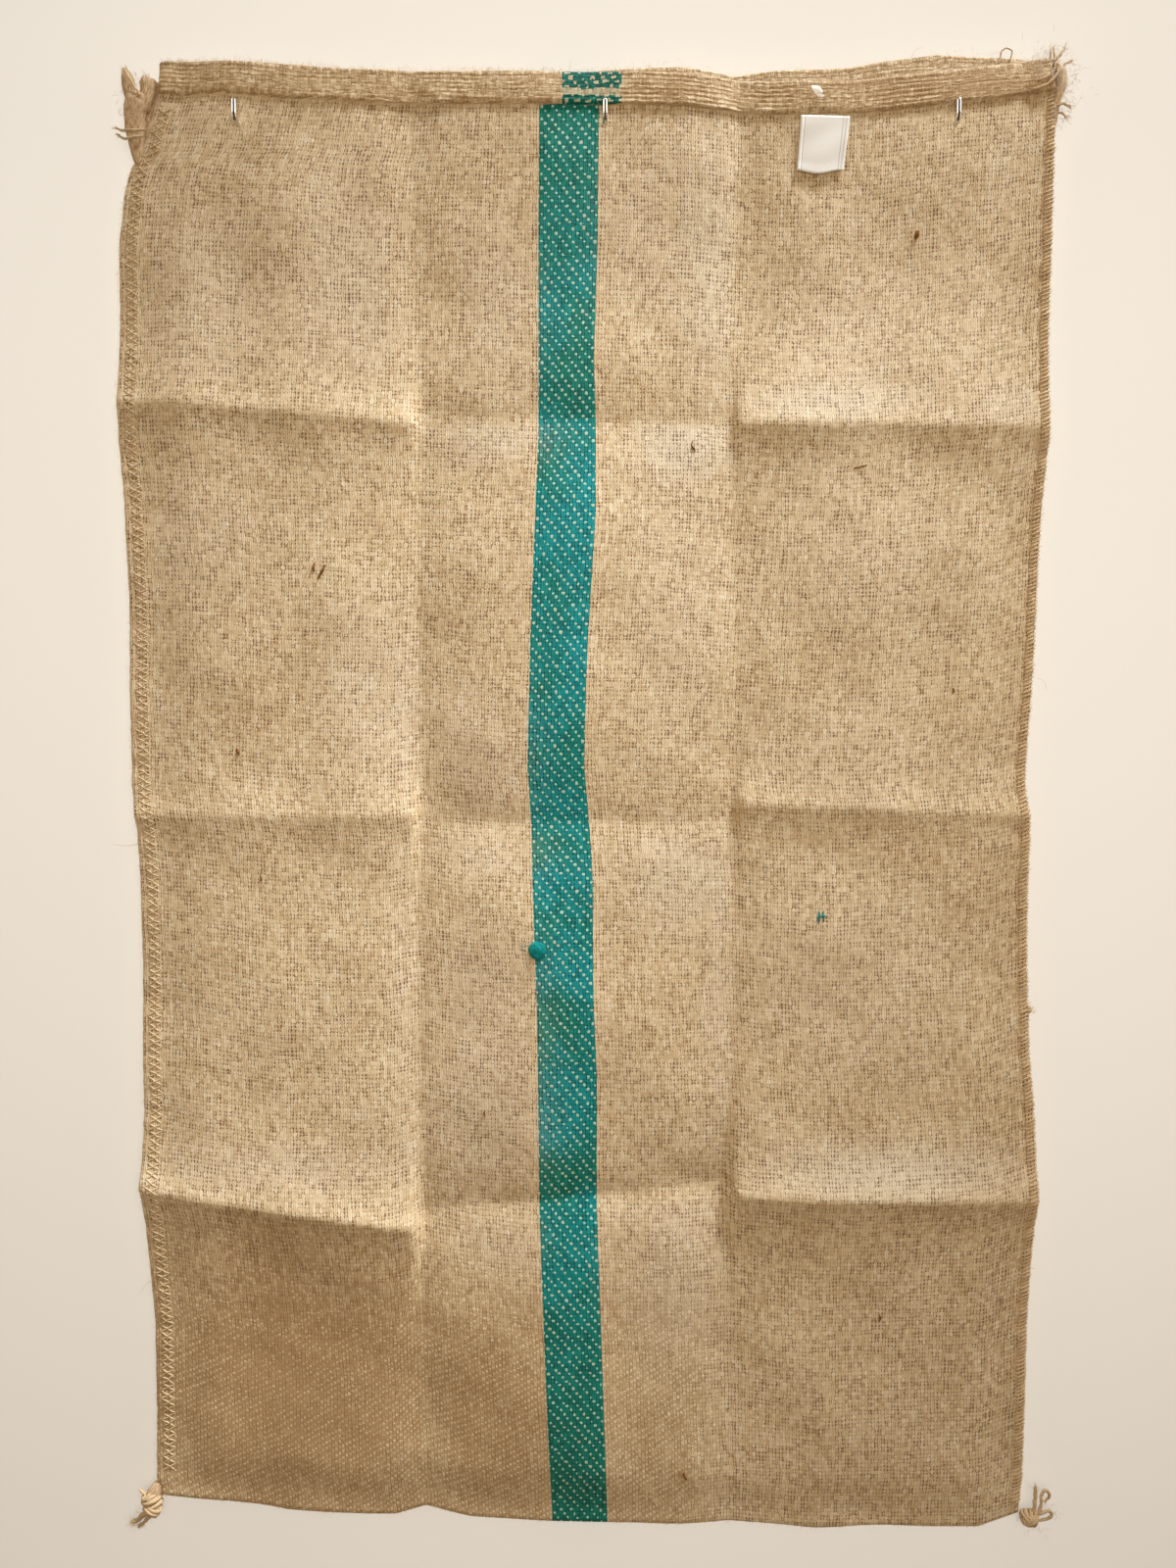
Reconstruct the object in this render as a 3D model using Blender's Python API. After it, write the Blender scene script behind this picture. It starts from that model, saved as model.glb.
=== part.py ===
"""A jute sack with a woven stripe, hung by its hemmed mouth on three wall hooks.

Metres, +Z up. The wall is the plane y = 0, the front of the sack faces -Y, and the origin is where
the plate of the centre hook meets the wall. Every size and table below is in millimetres.

The sack is one length of cloth, folded up at the bottom and sewn along both sides. It was stored
folded in three across and in four down, so two upright and three level creases cross it. Both of
its layers carry them. "Depth" is the distance out from the wall.
"""

import bmesh
import bpy
import numpy as np
from mathutils import Quaternion, Vector

MM = 0.001

# ---- cloth ----
CLOTH = 1.6  # one layer of heavy twill
HEM_DEPTH = 23.5  # height of the hem round the mouth
HEM_RAISE = 2.6  # its two more layers, turned to the outside
HEM_STEP = 0.6  # the lower edge of the hem is a step over this height
SEAM = 13.0  # width that the side sewing holds flat
FOLD = 4.0  # height that the bottom fold holds flat
MOUTH_ROUND = 1.5  # how far the rounding of the mouth's rim reaches down
HEM_ROWS = 3  # grid rows that lie in the hem

# ---- how it hangs ----
MIDDLE = 20.5  # depth of the middle between the two layers
# Air where the layers part most: the front hangs flatter, and the back sags towards the wall.
GAP_IN_FRONT, GAP_BEHIND = 4.0, 7.5
OPENS_OVER = 45.0  # distance from a seam or the bottom fold over which they part
CREASE_ROUND = 2.5  # radius at the ridge of a crease
SHARP_SHARE, SHARP_REACH = 0.42, 19.0  # this share of a crease dies out this near to it
DEEPEST = 11.0  # the cloth falls back this far at most, so that it stays off the wall
PANEL_BLEND = 12.0  # a level crease turns over across this distance at an upright one

# The side edges: height, and how far left and right of the centre hook the cloth reaches.
SIDES = np.array(
    [
        (50, -333, 334),
        (27, -334, 338),
        (8, -340, 337),
        (0, -343.5, 337),
        (-17, -348, 337),
        (-26, -356, 337),
        (-43, -361.5, 337),
        (-87, -367, 337.5),
        (-159, -368, 336.5),
        (-232, -369, 335.5),
        (-284, -365.5, 332),
        (-343, -363, 329.5),
        (-417, -363, 326),
        (-492, -362, 321.5),
        (-529, -358, 325),
        (-560, -356.5, 324.5),
        (-630, -356, 325),
        (-700, -356, 327.5),
        (-742, -355.5, 331),
        (-803, -358, 333),
        (-835, -355, 332),
        (-912, -351, 329.5),
        (-985, -351.5, 329.5),
        (-1040, -353, 329.5),
        (-1056, -350, 328),
    ]
)
# The mouth: distance right of the centre hook, and height of the front and the back rim.
MOUTH = np.array(
    [
        (-335, 48, 48),
        (-274, 45.7, 45.7),
        (-194, 41.3, 41.3),
        (-147, 41, 41),
        (-42, 38.3, 43.3),
        (2, 38.7, 48.5),
        (60, 38, 51),
        (100, 35, 47),
        (128, 32.3, 48.5),
        (190, 32.3, 50),
        (222, 35, 54.7),
        (262, 40.2, 59.5),
        (296, 43.7, 57.5),
        (334, 50, 50),
    ]
)
# The bottom fold: distance right of the centre hook, and height.
BOTTOM = np.array(
    [
        (-350, -1054),
        (-298, -1061),
        (-251, -1070),
        (-165, -1072.5),
        (-141, -1065.5),
        (-105, -1072.5),
        (-40, -1076),
        (49, -1077.5),
        (99, -1077),
        (165, -1082),
        (296, -1080),
        (328, -1068.7),
    ]
)
# Upright creases, which fall back towards the wall: height, distance right of the centre hook and
# how far the crease falls back.
LEFT_CREASE = np.array(
    [(50, -147, 5), (0, -146, 5.5), (-120, -143, 7), (-219, -141.5, 7.5), (-518, -143, 7.5),
     (-832, -145, 7.5), (-1060, -140.5, 7)]
)
RIGHT_CREASE = np.array(
    [(50, 100, 6), (0, 101, 5.5), (-120, 99, 6), (-219, 98, 6.5), (-518, 101, 6), (-805, 97, 6),
     (-1070, 98, 4)]
)
CREASE_REACH = 38.0  # an upright crease dies out over this distance on either side

# Level creases: panel across the sack, height at its left and right end, how far the crease
# stands out (or, below zero, falls back), and its reach above and below.
LEVEL_CREASES = (
    ("left", -201, -219, 6.5, 42, 34),
    ("centre", -212, -219, -4, 40, 36),
    ("right", -219, -222, 6.5, 44, 30),
    ("left", -515, -517, 4.5, 34, 30),
    ("centre", -521, -521, -3.5, 34, 40),
    ("right", -507, -515, 5.5, 30, 34),
    ("left", -803, -836, 9, 46, 36),
    ("centre", -824, -802, -6.5, 44, 40),
    ("right", -809, -812, 10, 46, 30),
)
# Gentle swellings between the creases: place, half width, half height, and rise.
SWELLINGS = (
    (-236, -110, 26, 95, 3.0),
    (-285, -120, 24, 95, -2.5),
    (225, -115, 110, 75, -4.5),
    (30, -105, 80, 70, -3.0),
    (-250, -370, 75, 90, 3.0),
    (-40, -370, 80, 90, 3.0),
    (215, -360, 75, 90, 3.0),
    (-250, -660, 75, 90, 3.0),
    (-48, -670, 80, 90, 3.0),
    (210, -660, 75, 90, 3.0),
    (-235, -1050, 75, 150, -8.0),
    (-50, -940, 80, 80, 3.5),
    (215, -1045, 95, 130, -3.5),
)
# How far each stretch of cloth hangs in front of or behind the middle depth: height and distance.
LEAN = np.array(
    [(50, 0), (0, -0.5), (-130, -4.5), (-300, -2), (-600, 0), (-815, 1.5), (-1075, -5)]
)

# Grid lines, as shares of a panel's width or of the height between two creases. They crowd
# towards creases, seams and folds.
OUTER_PANEL = (0, 0.012, 0.035, 0.07, 0.14, 0.3, 0.5, 0.7, 0.87, 0.96)
CENTRE_PANEL = (0, 0.04, 0.13, 0.28, 0.42, 0.58, 0.72, 0.87, 0.96)
BAND = (0, 0.03, 0.11, 0.26, 0.5, 0.74, 0.89, 0.97)
LAST_BAND = (*BAND, 0.99)

# ---- label sewn on the front, below the hem ----
LABEL = {"left": 146.0, "top": 7.0, "width": 36.5, "height": 40.0, "lean": 3.0, "thick": 1.0}
LABEL_LIFT = 0.35  # air behind the label
LABEL_BOW = 1.2  # how much further its lower half stands off

# ---- hooks ----
HOOK_SIDES = 20
HOOKS = {"hook_left": -274.0, "hook_centre": 0.0, "hook_right": 261.0}
ROD = 3.8  # diameter of the rod
HOLE_CLEARANCE = 0.4  # air round the rod where it passes through the weave
PLATE = 22.0  # diameter of the plate on the wall
PLATE_THICK = 3.0
HOOK_REACH = 34.0  # wall to the middle of the upturned end
HOOK_BEND = 5.0
HOOK_RISE = 15.0  # middle of the rod to the tip

COLOURS = {  # sRGB
    "jute": (0.72, 0.60, 0.45),
    "jute_twine": (0.70, 0.60, 0.47),
    "label": (0.90, 0.90, 0.86),
    "nickel": (0.78, 0.77, 0.75),
}


# ---- small tools ----
def along(table, column, place):
    """A table's column read at a place along its first column, which may run either way."""
    order = np.argsort(table[:, 0])
    return np.interp(place, table[order, 0], table[order, column])


def smooth(t):
    t = np.clip(t, 0, 1)
    return t * t * (3 - 2 * t)


def linear(colour):
    return [c / 12.92 if c <= 0.04045 else ((c + 0.055) / 1.055) ** 2.4 for c in colour]


def material(name, colour, roughness, metallic=0.0):
    made = bpy.data.materials.new(name)
    made.use_nodes = True
    shader = made.node_tree.nodes["Principled BSDF"]
    shader.inputs["Base Color"].default_value = (*linear(colour), 1)
    shader.inputs["Roughness"].default_value = roughness
    shader.inputs["Metallic"].default_value = metallic
    return made


def add_object(name, mesh, finish):
    made = bpy.data.objects.new(name, mesh)
    bpy.context.scene.collection.objects.link(made)
    mesh.materials.append(finish)
    mesh.shade_smooth()
    mesh.set_sharp_from_angle(angle=np.radians(40))
    return made


def mesh_from(name, points, faces):
    mesh = bpy.data.meshes.new(name)
    mesh.from_pydata([tuple(np.array(p) * MM) for p in points], [], faces)
    mesh.validate()
    return mesh


# ---- how the cloth hangs ----
def crease(distance, reach):
    """1 on the crease, rounded there, and dying out with distance from it."""
    rounded = np.sqrt(distance**2 + CREASE_ROUND**2) - CREASE_ROUND
    near, wide = np.exp(-rounded / SHARP_REACH), np.exp(-rounded / reach)
    return SHARP_SHARE * near + (1 - SHARP_SHARE) * wide


def relief(x, z):
    """How far the cloth stands out of its middle depth at a place."""
    left, right = along(LEFT_CREASE, 1, z), along(RIGHT_CREASE, 1, z)
    out = along(LEAN, 1, z)
    for line, table in ((left, LEFT_CREASE), (right, RIGHT_CREASE)):
        out = out - along(table, 2, z) * crease(x - line, CREASE_REACH)
    panels = {
        "left": (along(SIDES, 1, z), left, 1 - smooth((x - left) / PANEL_BLEND + 0.5)),
        "right": (right, along(SIDES, 2, z), smooth((x - right) / PANEL_BLEND + 0.5)),
    }
    inside = 1 - panels["left"][2] - panels["right"][2]
    panels["centre"] = (left, right, inside)
    for panel, start, end, height, above, below in LEVEL_CREASES:
        begin, finish, share = panels[panel]
        line = start + (end - start) * np.clip((x - begin) / (finish - begin), 0, 1)
        distance = z - line
        reach = np.where(distance > 0, above, below)
        out = out + height * share * crease(distance, reach)
    for x0, z0, wide, high, rise in SWELLINGS:
        out = out + rise * np.exp(-(((x - x0) / wide) ** 2) - ((z - z0) / high) ** 2)
    back = np.minimum(out, 0) / DEEPEST
    return np.maximum(out, 0) + DEEPEST * back / (1 + back**4) ** 0.25


def middle(x, z):
    return MIDDLE + relief(x, z)


def gap_part(x, z, side):
    """A layer's part of the air between the two: none at the seams and the bottom fold."""
    from_side = np.minimum(x - along(SIDES, 1, z), along(SIDES, 2, z) - x) - SEAM
    from_bottom = z - along(BOTTOM, 1, x) - FOLD
    part = GAP_IN_FRONT if side == 1 else GAP_BEHIND
    return part * smooth(from_side / OPENS_OVER) * smooth(from_bottom / OPENS_OVER)


def edge_round(x, z):
    """0 on the side edges and the bottom fold, and 1 a little way in, where a layer is whole."""
    from_side = np.minimum(x - along(SIDES, 1, z), along(SIDES, 2, z) - x)
    from_bottom = z - along(BOTTOM, 1, x)
    return np.sqrt(np.clip(np.minimum(from_side, from_bottom) / (1.5 * CLOTH), 0, 1))


def place_across(line, z, narrower=0.0):
    """Distance right of the centre hook of a grid line, counted in panels from the left edge."""
    marks = [
        along(SIDES, 1, z) + narrower,
        along(LEFT_CREASE, 1, z),
        along(RIGHT_CREASE, 1, z),
        along(SIDES, 2, z) - narrower,
    ]
    panel = min(int(line), 2)
    return marks[panel] + (line - panel) * (marks[panel + 1] - marks[panel])


def level_line(row, x):
    """Height at x of one of the three level creases, across all three panels."""
    parts = {crease_row[0]: crease_row for crease_row in LEVEL_CREASES[3 * row : 3 * row + 3]}
    height = [parts["left"][1], parts["left"][2], parts["right"][1], parts["right"][2]]
    return np.interp(x, [-360, -143, 99, 330], height)


def front_rim(x):
    return along(MOUTH, 1, x)


def back_rim(x):
    return along(MOUTH, 2, x)


def row_heights(line, rim, narrower, floor):
    """Heights of a grid line's rows, from the rim of the mouth to the floor of the sack."""
    top = rim(place_across(line, 20.0))
    marks = [top - HEM_DEPTH - HEM_STEP]
    for row, usual in enumerate((-215.0, -517.0, -815.0)):
        marks.append(level_line(row, place_across(line, usual, narrower)))
    marks.append(along(BOTTOM, 1, place_across(line, -1065.0, narrower)) + floor)
    rows = [top - MOUTH_ROUND, top - HEM_DEPTH / 2, top - HEM_DEPTH]
    for number, (upper, lower) in enumerate(zip(marks, marks[1:])):
        for share in LAST_BAND if number == 3 else BAND:
            rows.append(upper + share * (lower - upper))
    return [*rows, marks[-1]]


def layer_points(side, inner):
    """Rows of points of one face of one layer. side is 1 for the front and -1 for the back."""
    rim = front_rim if side == 1 else back_rim
    narrower, floor = (SEAM, FOLD) if inner else (0.0, 0.0)
    columns = [*OUTER_PANEL, *(1 + s for s in CENTRE_PANEL), *(3 - s for s in OUTER_PANEL[::-1])]
    rows = []
    for line in columns:
        heights = row_heights(line, rim, narrower, floor)
        column = []
        for number, z in enumerate(heights):
            x = place_across(line, z, narrower)
            raised = HEM_RAISE if number < HEM_ROWS else 0.0
            if line in (0, 3) or z == heights[-1]:
                half = 0.0
            elif inner:
                half = gap_part(x, z, side)
            else:
                half = gap_part(x, z, side) + (CLOTH + raised) * edge_round(x, z)
            column.append((x, -(middle(x, z) + side * half), z))
        rows.append(column)
    return np.array(rows).transpose(1, 0, 2)


def rim_points(side):
    """The crest of the mouth's rim, half way through the cloth."""
    outer, inner = layer_points(side, False)[0], layer_points(side, True)[0]
    crest = (outer + inner) / 2
    crest[:, 2] += MOUTH_ROUND
    return crest


# ---- the pieces ----
def sack_cloth(finish):
    """Both layers in one solid: outer faces, rim of the mouth, and the faces of the inside."""
    points, lookup = [], {}

    def index(point):
        key = tuple(np.round(point, 4))
        if key not in lookup:
            lookup[key] = len(points)
            points.append(point)
        return lookup[key]

    faces = []
    for side in (1, -1):
        outer, inner = layer_points(side, False), layer_points(side, True)
        rows = [*inner[::-1], rim_points(side), *outer]
        grid = [[index(point) for point in row] for row in rows]
        for upper, lower in zip(grid, grid[1:]):
            for a, b, c, d in zip(upper, upper[1:], lower[1:], lower):
                corners = [a, d, c, b] if side == 1 else [a, b, c, d]
                ring = [v for n, v in enumerate(corners) if v != corners[n - 1]]
                if len(ring) > 2:
                    faces.append(ring)
    sack = add_object("sack_cloth", mesh_from("sack_cloth", points, faces), finish)
    for name, x in HOOKS.items():
        bpy.ops.mesh.primitive_cylinder_add(
            vertices=12,
            radius=(ROD / 2 + HOLE_CLEARANCE) * MM,
            depth=60 * MM,
            location=(x * MM, -30 * MM, 0),
            rotation=(np.radians(90), 0, 0),
        )
        cutter = bpy.context.object
        cutter.name = f"hole_for_{name}"
        cutter.hide_render = True
        cutter.display_type = "WIRE"
        cut = sack.modifiers.new(f"hole_{name}", "BOOLEAN")
        cut.operation = "DIFFERENCE"
        cut.object = cutter
    return sack


def label(finish):
    """A thin tab that lies on the cloth below the hem, its lower half standing off a little."""
    across, down = np.linspace(0, 1, 7), np.linspace(0, 1, 8)
    sheets = []
    for lift in (LABEL_LIFT, LABEL_LIFT + LABEL["thick"]):
        sheet = []
        for v in down:
            for u in across:
                x = LABEL["left"] + u * LABEL["width"] - v * LABEL["lean"]
                z = LABEL["top"] - v * LABEL["height"] - 2 * u
                bow = LABEL_BOW * v**2 * np.sin(np.pi * (0.15 + 0.7 * u))
                depth = middle(x, z) + gap_part(x, z, 1) + CLOTH + lift + bow
                sheet.append((x, -depth, z))
        sheets.append(sheet)
    wide, tall = len(across), len(down)
    count = wide * tall
    faces = []
    for row in range(tall - 1):
        for column in range(wide - 1):
            a = row * wide + column
            quad = (a, a + 1, a + wide + 1, a + wide)
            faces.append(quad)
            faces.append(tuple(count + v for v in quad[::-1]))
    border = [*range(wide)]
    border += [wide - 1 + wide * row for row in range(1, tall)]
    border += [wide * (tall - 1) + column for column in range(wide - 2, -1, -1)]
    border += [wide * row for row in range(tall - 2, 0, -1)]
    for a, b in zip(border, [*border[1:], border[0]]):
        faces.append((a, count + a, count + b, b))
    return add_object("label", mesh_from("label", [*sheets[0], *sheets[1]], faces), finish)


def tube(stations, sides):
    """A closed tube: each station is a centre, an axis and a radius."""
    points, faces = [], []
    for centre, axis, radius in stations:
        axis = Vector(axis).normalized()
        across = axis.cross(Vector((1, 0, 0)))
        if across.length < 0.3:
            across = axis.cross(Vector((0, 0, 1)))
        across.normalize()
        other = axis.cross(across)
        for n in range(sides):
            turn = 2 * np.pi * (n + 0.5) / sides
            offset = across * np.cos(turn) + other * np.sin(turn)
            points.append(Vector(centre) + offset * radius)
    for ring in range(len(stations) - 1):
        for n in range(sides):
            a, b = ring * sides + n, ring * sides + (n + 1) % sides
            faces.append((a, b, b + sides, a + sides))
    faces.append(tuple(range(sides))[::-1])
    faces.append(tuple((len(stations) - 1) * sides + n for n in range(sides)))
    return points, faces


def hook(name, x, finish):
    """A wall hook: round plate, level rod, and an upturned end with a rounded tip."""
    rod = ROD / 2
    out = (0, -1, 0)
    stations = [
        ((x, 0, 0), out, PLATE / 2 - 0.5),
        ((x, -0.5, 0), out, PLATE / 2),
        ((x, 0.8 - PLATE_THICK, 0), out, PLATE / 2),
        ((x, -PLATE_THICK, 0), out, PLATE / 2 - 1.5),
        ((x, -PLATE_THICK - 0.2, 0), out, rod + 1.5),
        ((x, -PLATE_THICK - 1.5, 0), out, rod),
    ]
    for turn in np.radians(np.linspace(0, 90, 7)):
        centre = (
            x,
            -(HOOK_REACH - HOOK_BEND) - HOOK_BEND * np.sin(turn),
            HOOK_BEND * (1 - np.cos(turn)),
        )
        stations.append((centre, (0, -np.cos(turn), np.sin(turn)), rod))
    for rise in np.radians((0, 30, 60, 80)):
        top = HOOK_RISE - rod + rod * np.sin(rise)
        stations.append(((x, -HOOK_REACH, top), (0, 0, 1), rod * np.cos(rise)))
    made = add_object(name, mesh_from(name, *tube(stations, HOOK_SIDES)), finish)
    return made


def strand(bm, face, path):
    """Extrudes a face of a tuft along a path of (x, depth, height, half thickness) rows."""
    places = [Vector((x, -depth, z)) for x, depth, z, _ in path]
    before, heading = face.calc_center_median(), face.normal.copy()
    for n, (place, row) in enumerate(zip(places, path)):
        direction = (place - before).normalized()
        if n + 1 < len(places):
            direction = (direction + (places[n + 1] - place).normalized()).normalized()
        face = bmesh.ops.extrude_discrete_faces(bm, faces=[face])["faces"][0]
        across = heading.rotation_difference(direction) @ (face.verts[0].co - before)
        for k, vertex in enumerate(face.verts):
            turn = Quaternion(direction, 2 * np.pi * k / len(face.verts))
            vertex.co = place + turn @ across.normalized() * row[3]
        before, heading = place, direction


def tuft(name, head, strands, finish, sides=8, flat=0.6):
    """A knotted or bound end: a lumpy head, and strands that grow out of it.

    head holds (x, depth, height, half width) rows from one end to the other. flat is how thick
    it is for its width. Each strand starts at the face of the head nearest to its first row.
    """
    centres = [Vector((x, -depth, z)) for x, depth, z, _ in head]
    stations = []
    for n, (centre, row) in enumerate(zip(centres, head)):
        axis = centres[min(n + 1, len(head) - 1)] - centres[max(n - 1, 0)]
        stations.append((centre, axis, row[3]))
    points, faces = tube(stations, sides)
    for n, point in enumerate(points):
        centre = centres[n // sides]
        point.y = centre.y + (point.y - centre.y) * flat
    bm = bmesh.new()
    vertices = [bm.verts.new(point) for point in points]
    for face in faces:
        bm.faces.new([vertices[n] for n in face])
    bmesh.ops.recalc_face_normals(bm, faces=bm.faces[:])
    own = [face for face in bm.faces if len(face.verts) == 4]
    for path in strands:
        start = Vector((path[0][0], -path[0][1], path[0][2]))
        nearest = min(own, key=lambda face: (face.calc_center_median() - start).length)
        own.remove(nearest)
        nearest.normal_update()
        strand(bm, nearest, path)
    bmesh.ops.scale(bm, vec=(MM, MM, MM), verts=bm.verts[:])
    mesh = bpy.data.meshes.new(name)
    bm.to_mesh(mesh)
    bm.free()
    return add_object(name, mesh, finish)


# The bound ends of the side seams. Rows are x, depth, height and half width.
EAR_HEAD = (
    (-352.8, 20.5, -16, 1.6),
    (-353.5, 20.5, -10, 4.2),
    (-354, 20.5, -4, 6.5),
    (-353.6, 20.5, -1, 9.4),
    (-353.2, 20.5, 2, 9.4),
    (-353.6, 20.5, 5, 7.8),
    (-353.4, 20.5, 14, 8.6),
    (-353.2, 20.5, 21, 8.0),
    (-353, 20.5, 25, 4.8),
)
EAR_STRANDS = (
    ((-358.5, 20.5, 27, 4.2), (-360, 21, 33, 3.6), (-361, 20.5, 38, 2.4), (-361.5, 20.5, 40, 0.8)),
    ((-352, 22, 28, 1.4), (-355, 23.5, 33, 1.1), (-357, 24, 38, 0.8)),
    ((-345.2, 20.1, 28, 3.2), (-344, 19.5, 32, 4.0), (-343, 19, 35.5, 3.2), (-342.8, 18.5, 37, 1.4)),
    ((-364.6, 21.5, 3.2, 1.3), (-366.6, 21.5, 4.2, 1.1), (-368, 21.5, 5, 0.7)),
    ((-365.0, 19.5, -0.6, 1.3), (-367, 19.5, 0, 1.1), (-368.4, 19.5, 1, 0.7)),
)
FRAY_HEAD = (
    (337.9, 20.5, 46, 1.2),
    (340.7, 20.5, 40, 2.2),
    (341.3, 20.5, 33, 2.4),
    (340.9, 20.5, 26, 2.4),
    (339.9, 20.5, 18, 2.0),
    (339.5, 20.5, 12, 2.0),
    (339.1, 20.5, 6, 1.2),
)
FRAY_STRANDS = (
    ((342.5, 21, 43, 1.2), (343.5, 21.5, 50, 1.1), (346, 21.5, 57, 0.7)),
    ((344.6, 19.9, 37.6, 1.0), (348, 19.5, 44, 1.1), (351, 19.5, 47, 0.7)),
    ((344.5, 20.5, 32, 1.0), (347, 20.5, 34, 0.8), (349.5, 20.5, 38, 0.6)),
    ((342.8, 19.5, 22, 1.3), (346.5, 19.5, 18, 1.7), (349.5, 19.5, 15.5, 0.9)),
    ((342.8, 21.5, 15, 1.2), (346, 22, 11, 1.5), (345.5, 22, 6, 0.8)),
    ((342.0, 20.5, 9, 1.0), (343.5, 20.5, 4, 0.9), (342.5, 20.5, 0, 0.6)),
)
LEFT_KNOT_HEAD = (
    (-355.5, 14.5, -1046, 1.6),
    (-357.3, 14.5, -1049, 4.6),
    (-356.9, 14.5, -1054, 6.6),
    (-356.1, 14.5, -1061, 7.0),
    (-355.8, 14.5, -1066, 5.6),
    (-354.5, 14.5, -1070, 2.2),
)
LEFT_KNOT_STRANDS = (
    ((-364.2, 14.5, -1066.2, 2.2), (-367.3, 15, -1070.5, 2.1), (-371, 14.5, -1074.3, 1.9),
     (-375, 14, -1075.5, 0.8)),
    ((-360.2, 15.5, -1071.8, 1.3), (-363.8, 16, -1076, 1.4), (-367, 15.5, -1079, 0.8)),
    ((-364.5, 14.5, -1051.5, 1.3), (-366.5, 14.5, -1049.5, 1.0), (-368, 14.5, -1049.5, 0.6)),
)
RIGHT_KNOT_HEAD = (
    (328.35, 13.5, -1068.95, 1.6),
    (332, 13.5, -1073.5, 4.2),
    (336.5, 13.5, -1074.5, 5.8),
    (341, 13.5, -1074, 5.2),
    (345, 13.5, -1073, 3.4),
    (346.6, 13.5, -1072.6, 1.6),
)
RIGHT_KNOT_STRANDS = (
    ((339, 13.5, -1066.6, 1.7), (340.3, 14, -1060, 1.7), (341, 14, -1053, 1.5),
     (341.5, 13.5, -1048, 0.9)),
    ((343.8, 14.5, -1067.3, 1.4), (346, 15, -1060.5, 1.3), (347.8, 15, -1055, 1.2),
     (350.4, 14.5, -1053.2, 1.1), (352, 14, -1056.5, 1.0), (350.8, 13.5, -1060.5, 0.7)),
    ((348.8, 13, -1070.4, 1.1), (352, 13, -1069.8, 1.2), (354.2, 13, -1072.4, 1.1),
     (351.8, 13, -1075.8, 1.0), (348.6, 13, -1078, 0.7)),
)


def main():
    for old in list(bpy.data.objects):
        bpy.data.objects.remove(old)
    jute = material("jute_twill", COLOURS["jute"], 0.95)
    twine = material("jute_twine", COLOURS["jute_twine"], 0.95)
    sack_cloth(jute)
    label(material("label_tape", COLOURS["label"], 0.7))
    nickel = material("nickel_plated_steel", COLOURS["nickel"], 0.15, 1.0)
    for name, x in HOOKS.items():
        hook(name, x, nickel)
    tuft("ear_top_left", EAR_HEAD, EAR_STRANDS, twine)
    tuft("fray_top_right", FRAY_HEAD, FRAY_STRANDS, twine, flat=0.8)
    tuft("knot_bottom_left", LEFT_KNOT_HEAD, LEFT_KNOT_STRANDS, twine, flat=0.75)
    tuft("knot_bottom_right", RIGHT_KNOT_HEAD, RIGHT_KNOT_STRANDS, twine, flat=0.8)


main()
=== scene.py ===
"""Looks of the jute sack on its wall hooks: the weave, sewing, loose yarn, label, hooks and light.

Tables and sizes are in millimetres, as in the part's source, and meshes are made in metres. A
place is (x, depth, z): right of the centre hook, out from the wall, and up from the hook.
"""

import bmesh
import bpy
import numpy as np
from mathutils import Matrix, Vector


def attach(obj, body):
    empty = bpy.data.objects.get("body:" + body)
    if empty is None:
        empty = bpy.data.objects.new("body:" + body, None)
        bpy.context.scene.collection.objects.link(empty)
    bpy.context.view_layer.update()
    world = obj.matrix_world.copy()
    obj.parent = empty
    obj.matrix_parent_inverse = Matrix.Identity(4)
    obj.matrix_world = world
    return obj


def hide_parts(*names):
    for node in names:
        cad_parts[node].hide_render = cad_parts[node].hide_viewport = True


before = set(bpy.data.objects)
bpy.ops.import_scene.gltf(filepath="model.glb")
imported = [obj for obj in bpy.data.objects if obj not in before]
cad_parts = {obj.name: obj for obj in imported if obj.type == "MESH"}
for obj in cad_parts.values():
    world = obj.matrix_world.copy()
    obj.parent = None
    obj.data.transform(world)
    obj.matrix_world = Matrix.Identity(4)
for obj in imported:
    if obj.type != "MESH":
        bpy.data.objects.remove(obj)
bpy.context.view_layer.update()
BODY = "root"
MM = 0.001

# ---- cloth, as in the part's source ----
CLOTH = 1.6
HEM_DEPTH = 23.5
HEM_RAISE = 2.6
SEAM = 13.0
FOLD = 4.0
MIDDLE = 20.5
GAP_IN_FRONT, GAP_BEHIND = 4.0, 7.5  # the front hangs flat and the back sags to the wall
OPENS_OVER = 45.0
CREASE_ROUND = 2.0
SHARP_SHARE, SHARP_REACH = 0.42, 19.0  # part of each crease dies out this near to it
DEEPEST = 11.0  # the cloth falls back this far at most, so that it stays off the wall
PANEL_BLEND = 12.0
# Puckers below the hem, and pulls along the side sewing: height, pitch, and how far they reach.
PUCKER, PUCKER_PITCH, PUCKER_REACH = 0.45, 23.0, 30.0
PULL, PULL_PITCH, PULL_REACH = 0.5, 19.0, 12.0
HEM_RIB = 0.16  # height of the ribs that the wefts make in the turned hem
CREASE_REACH = 38.0

# The side edges: height, and how far left and right the cloth reaches.
SIDES = np.array(
    [
        (50, -333, 334), (27, -334, 338), (8, -340, 337), (0, -343.5, 337), (-17, -348, 337),
        (-26, -356, 337), (-43, -361.5, 337), (-87, -367, 337.5), (-159, -368, 336.5),
        (-232, -369, 335.5), (-284, -365.5, 332), (-343, -363, 329.5), (-417, -363, 326),
        (-492, -362, 321.5), (-529, -358, 325), (-560, -356.5, 324.5), (-630, -356, 325),
        (-700, -356, 327.5), (-742, -355.5, 331), (-803, -358, 333), (-835, -355, 332),
        (-912, -351, 329.5), (-985, -351.5, 329.5), (-1040, -353, 329.5), (-1056, -350, 328),
    ]
)
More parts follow.
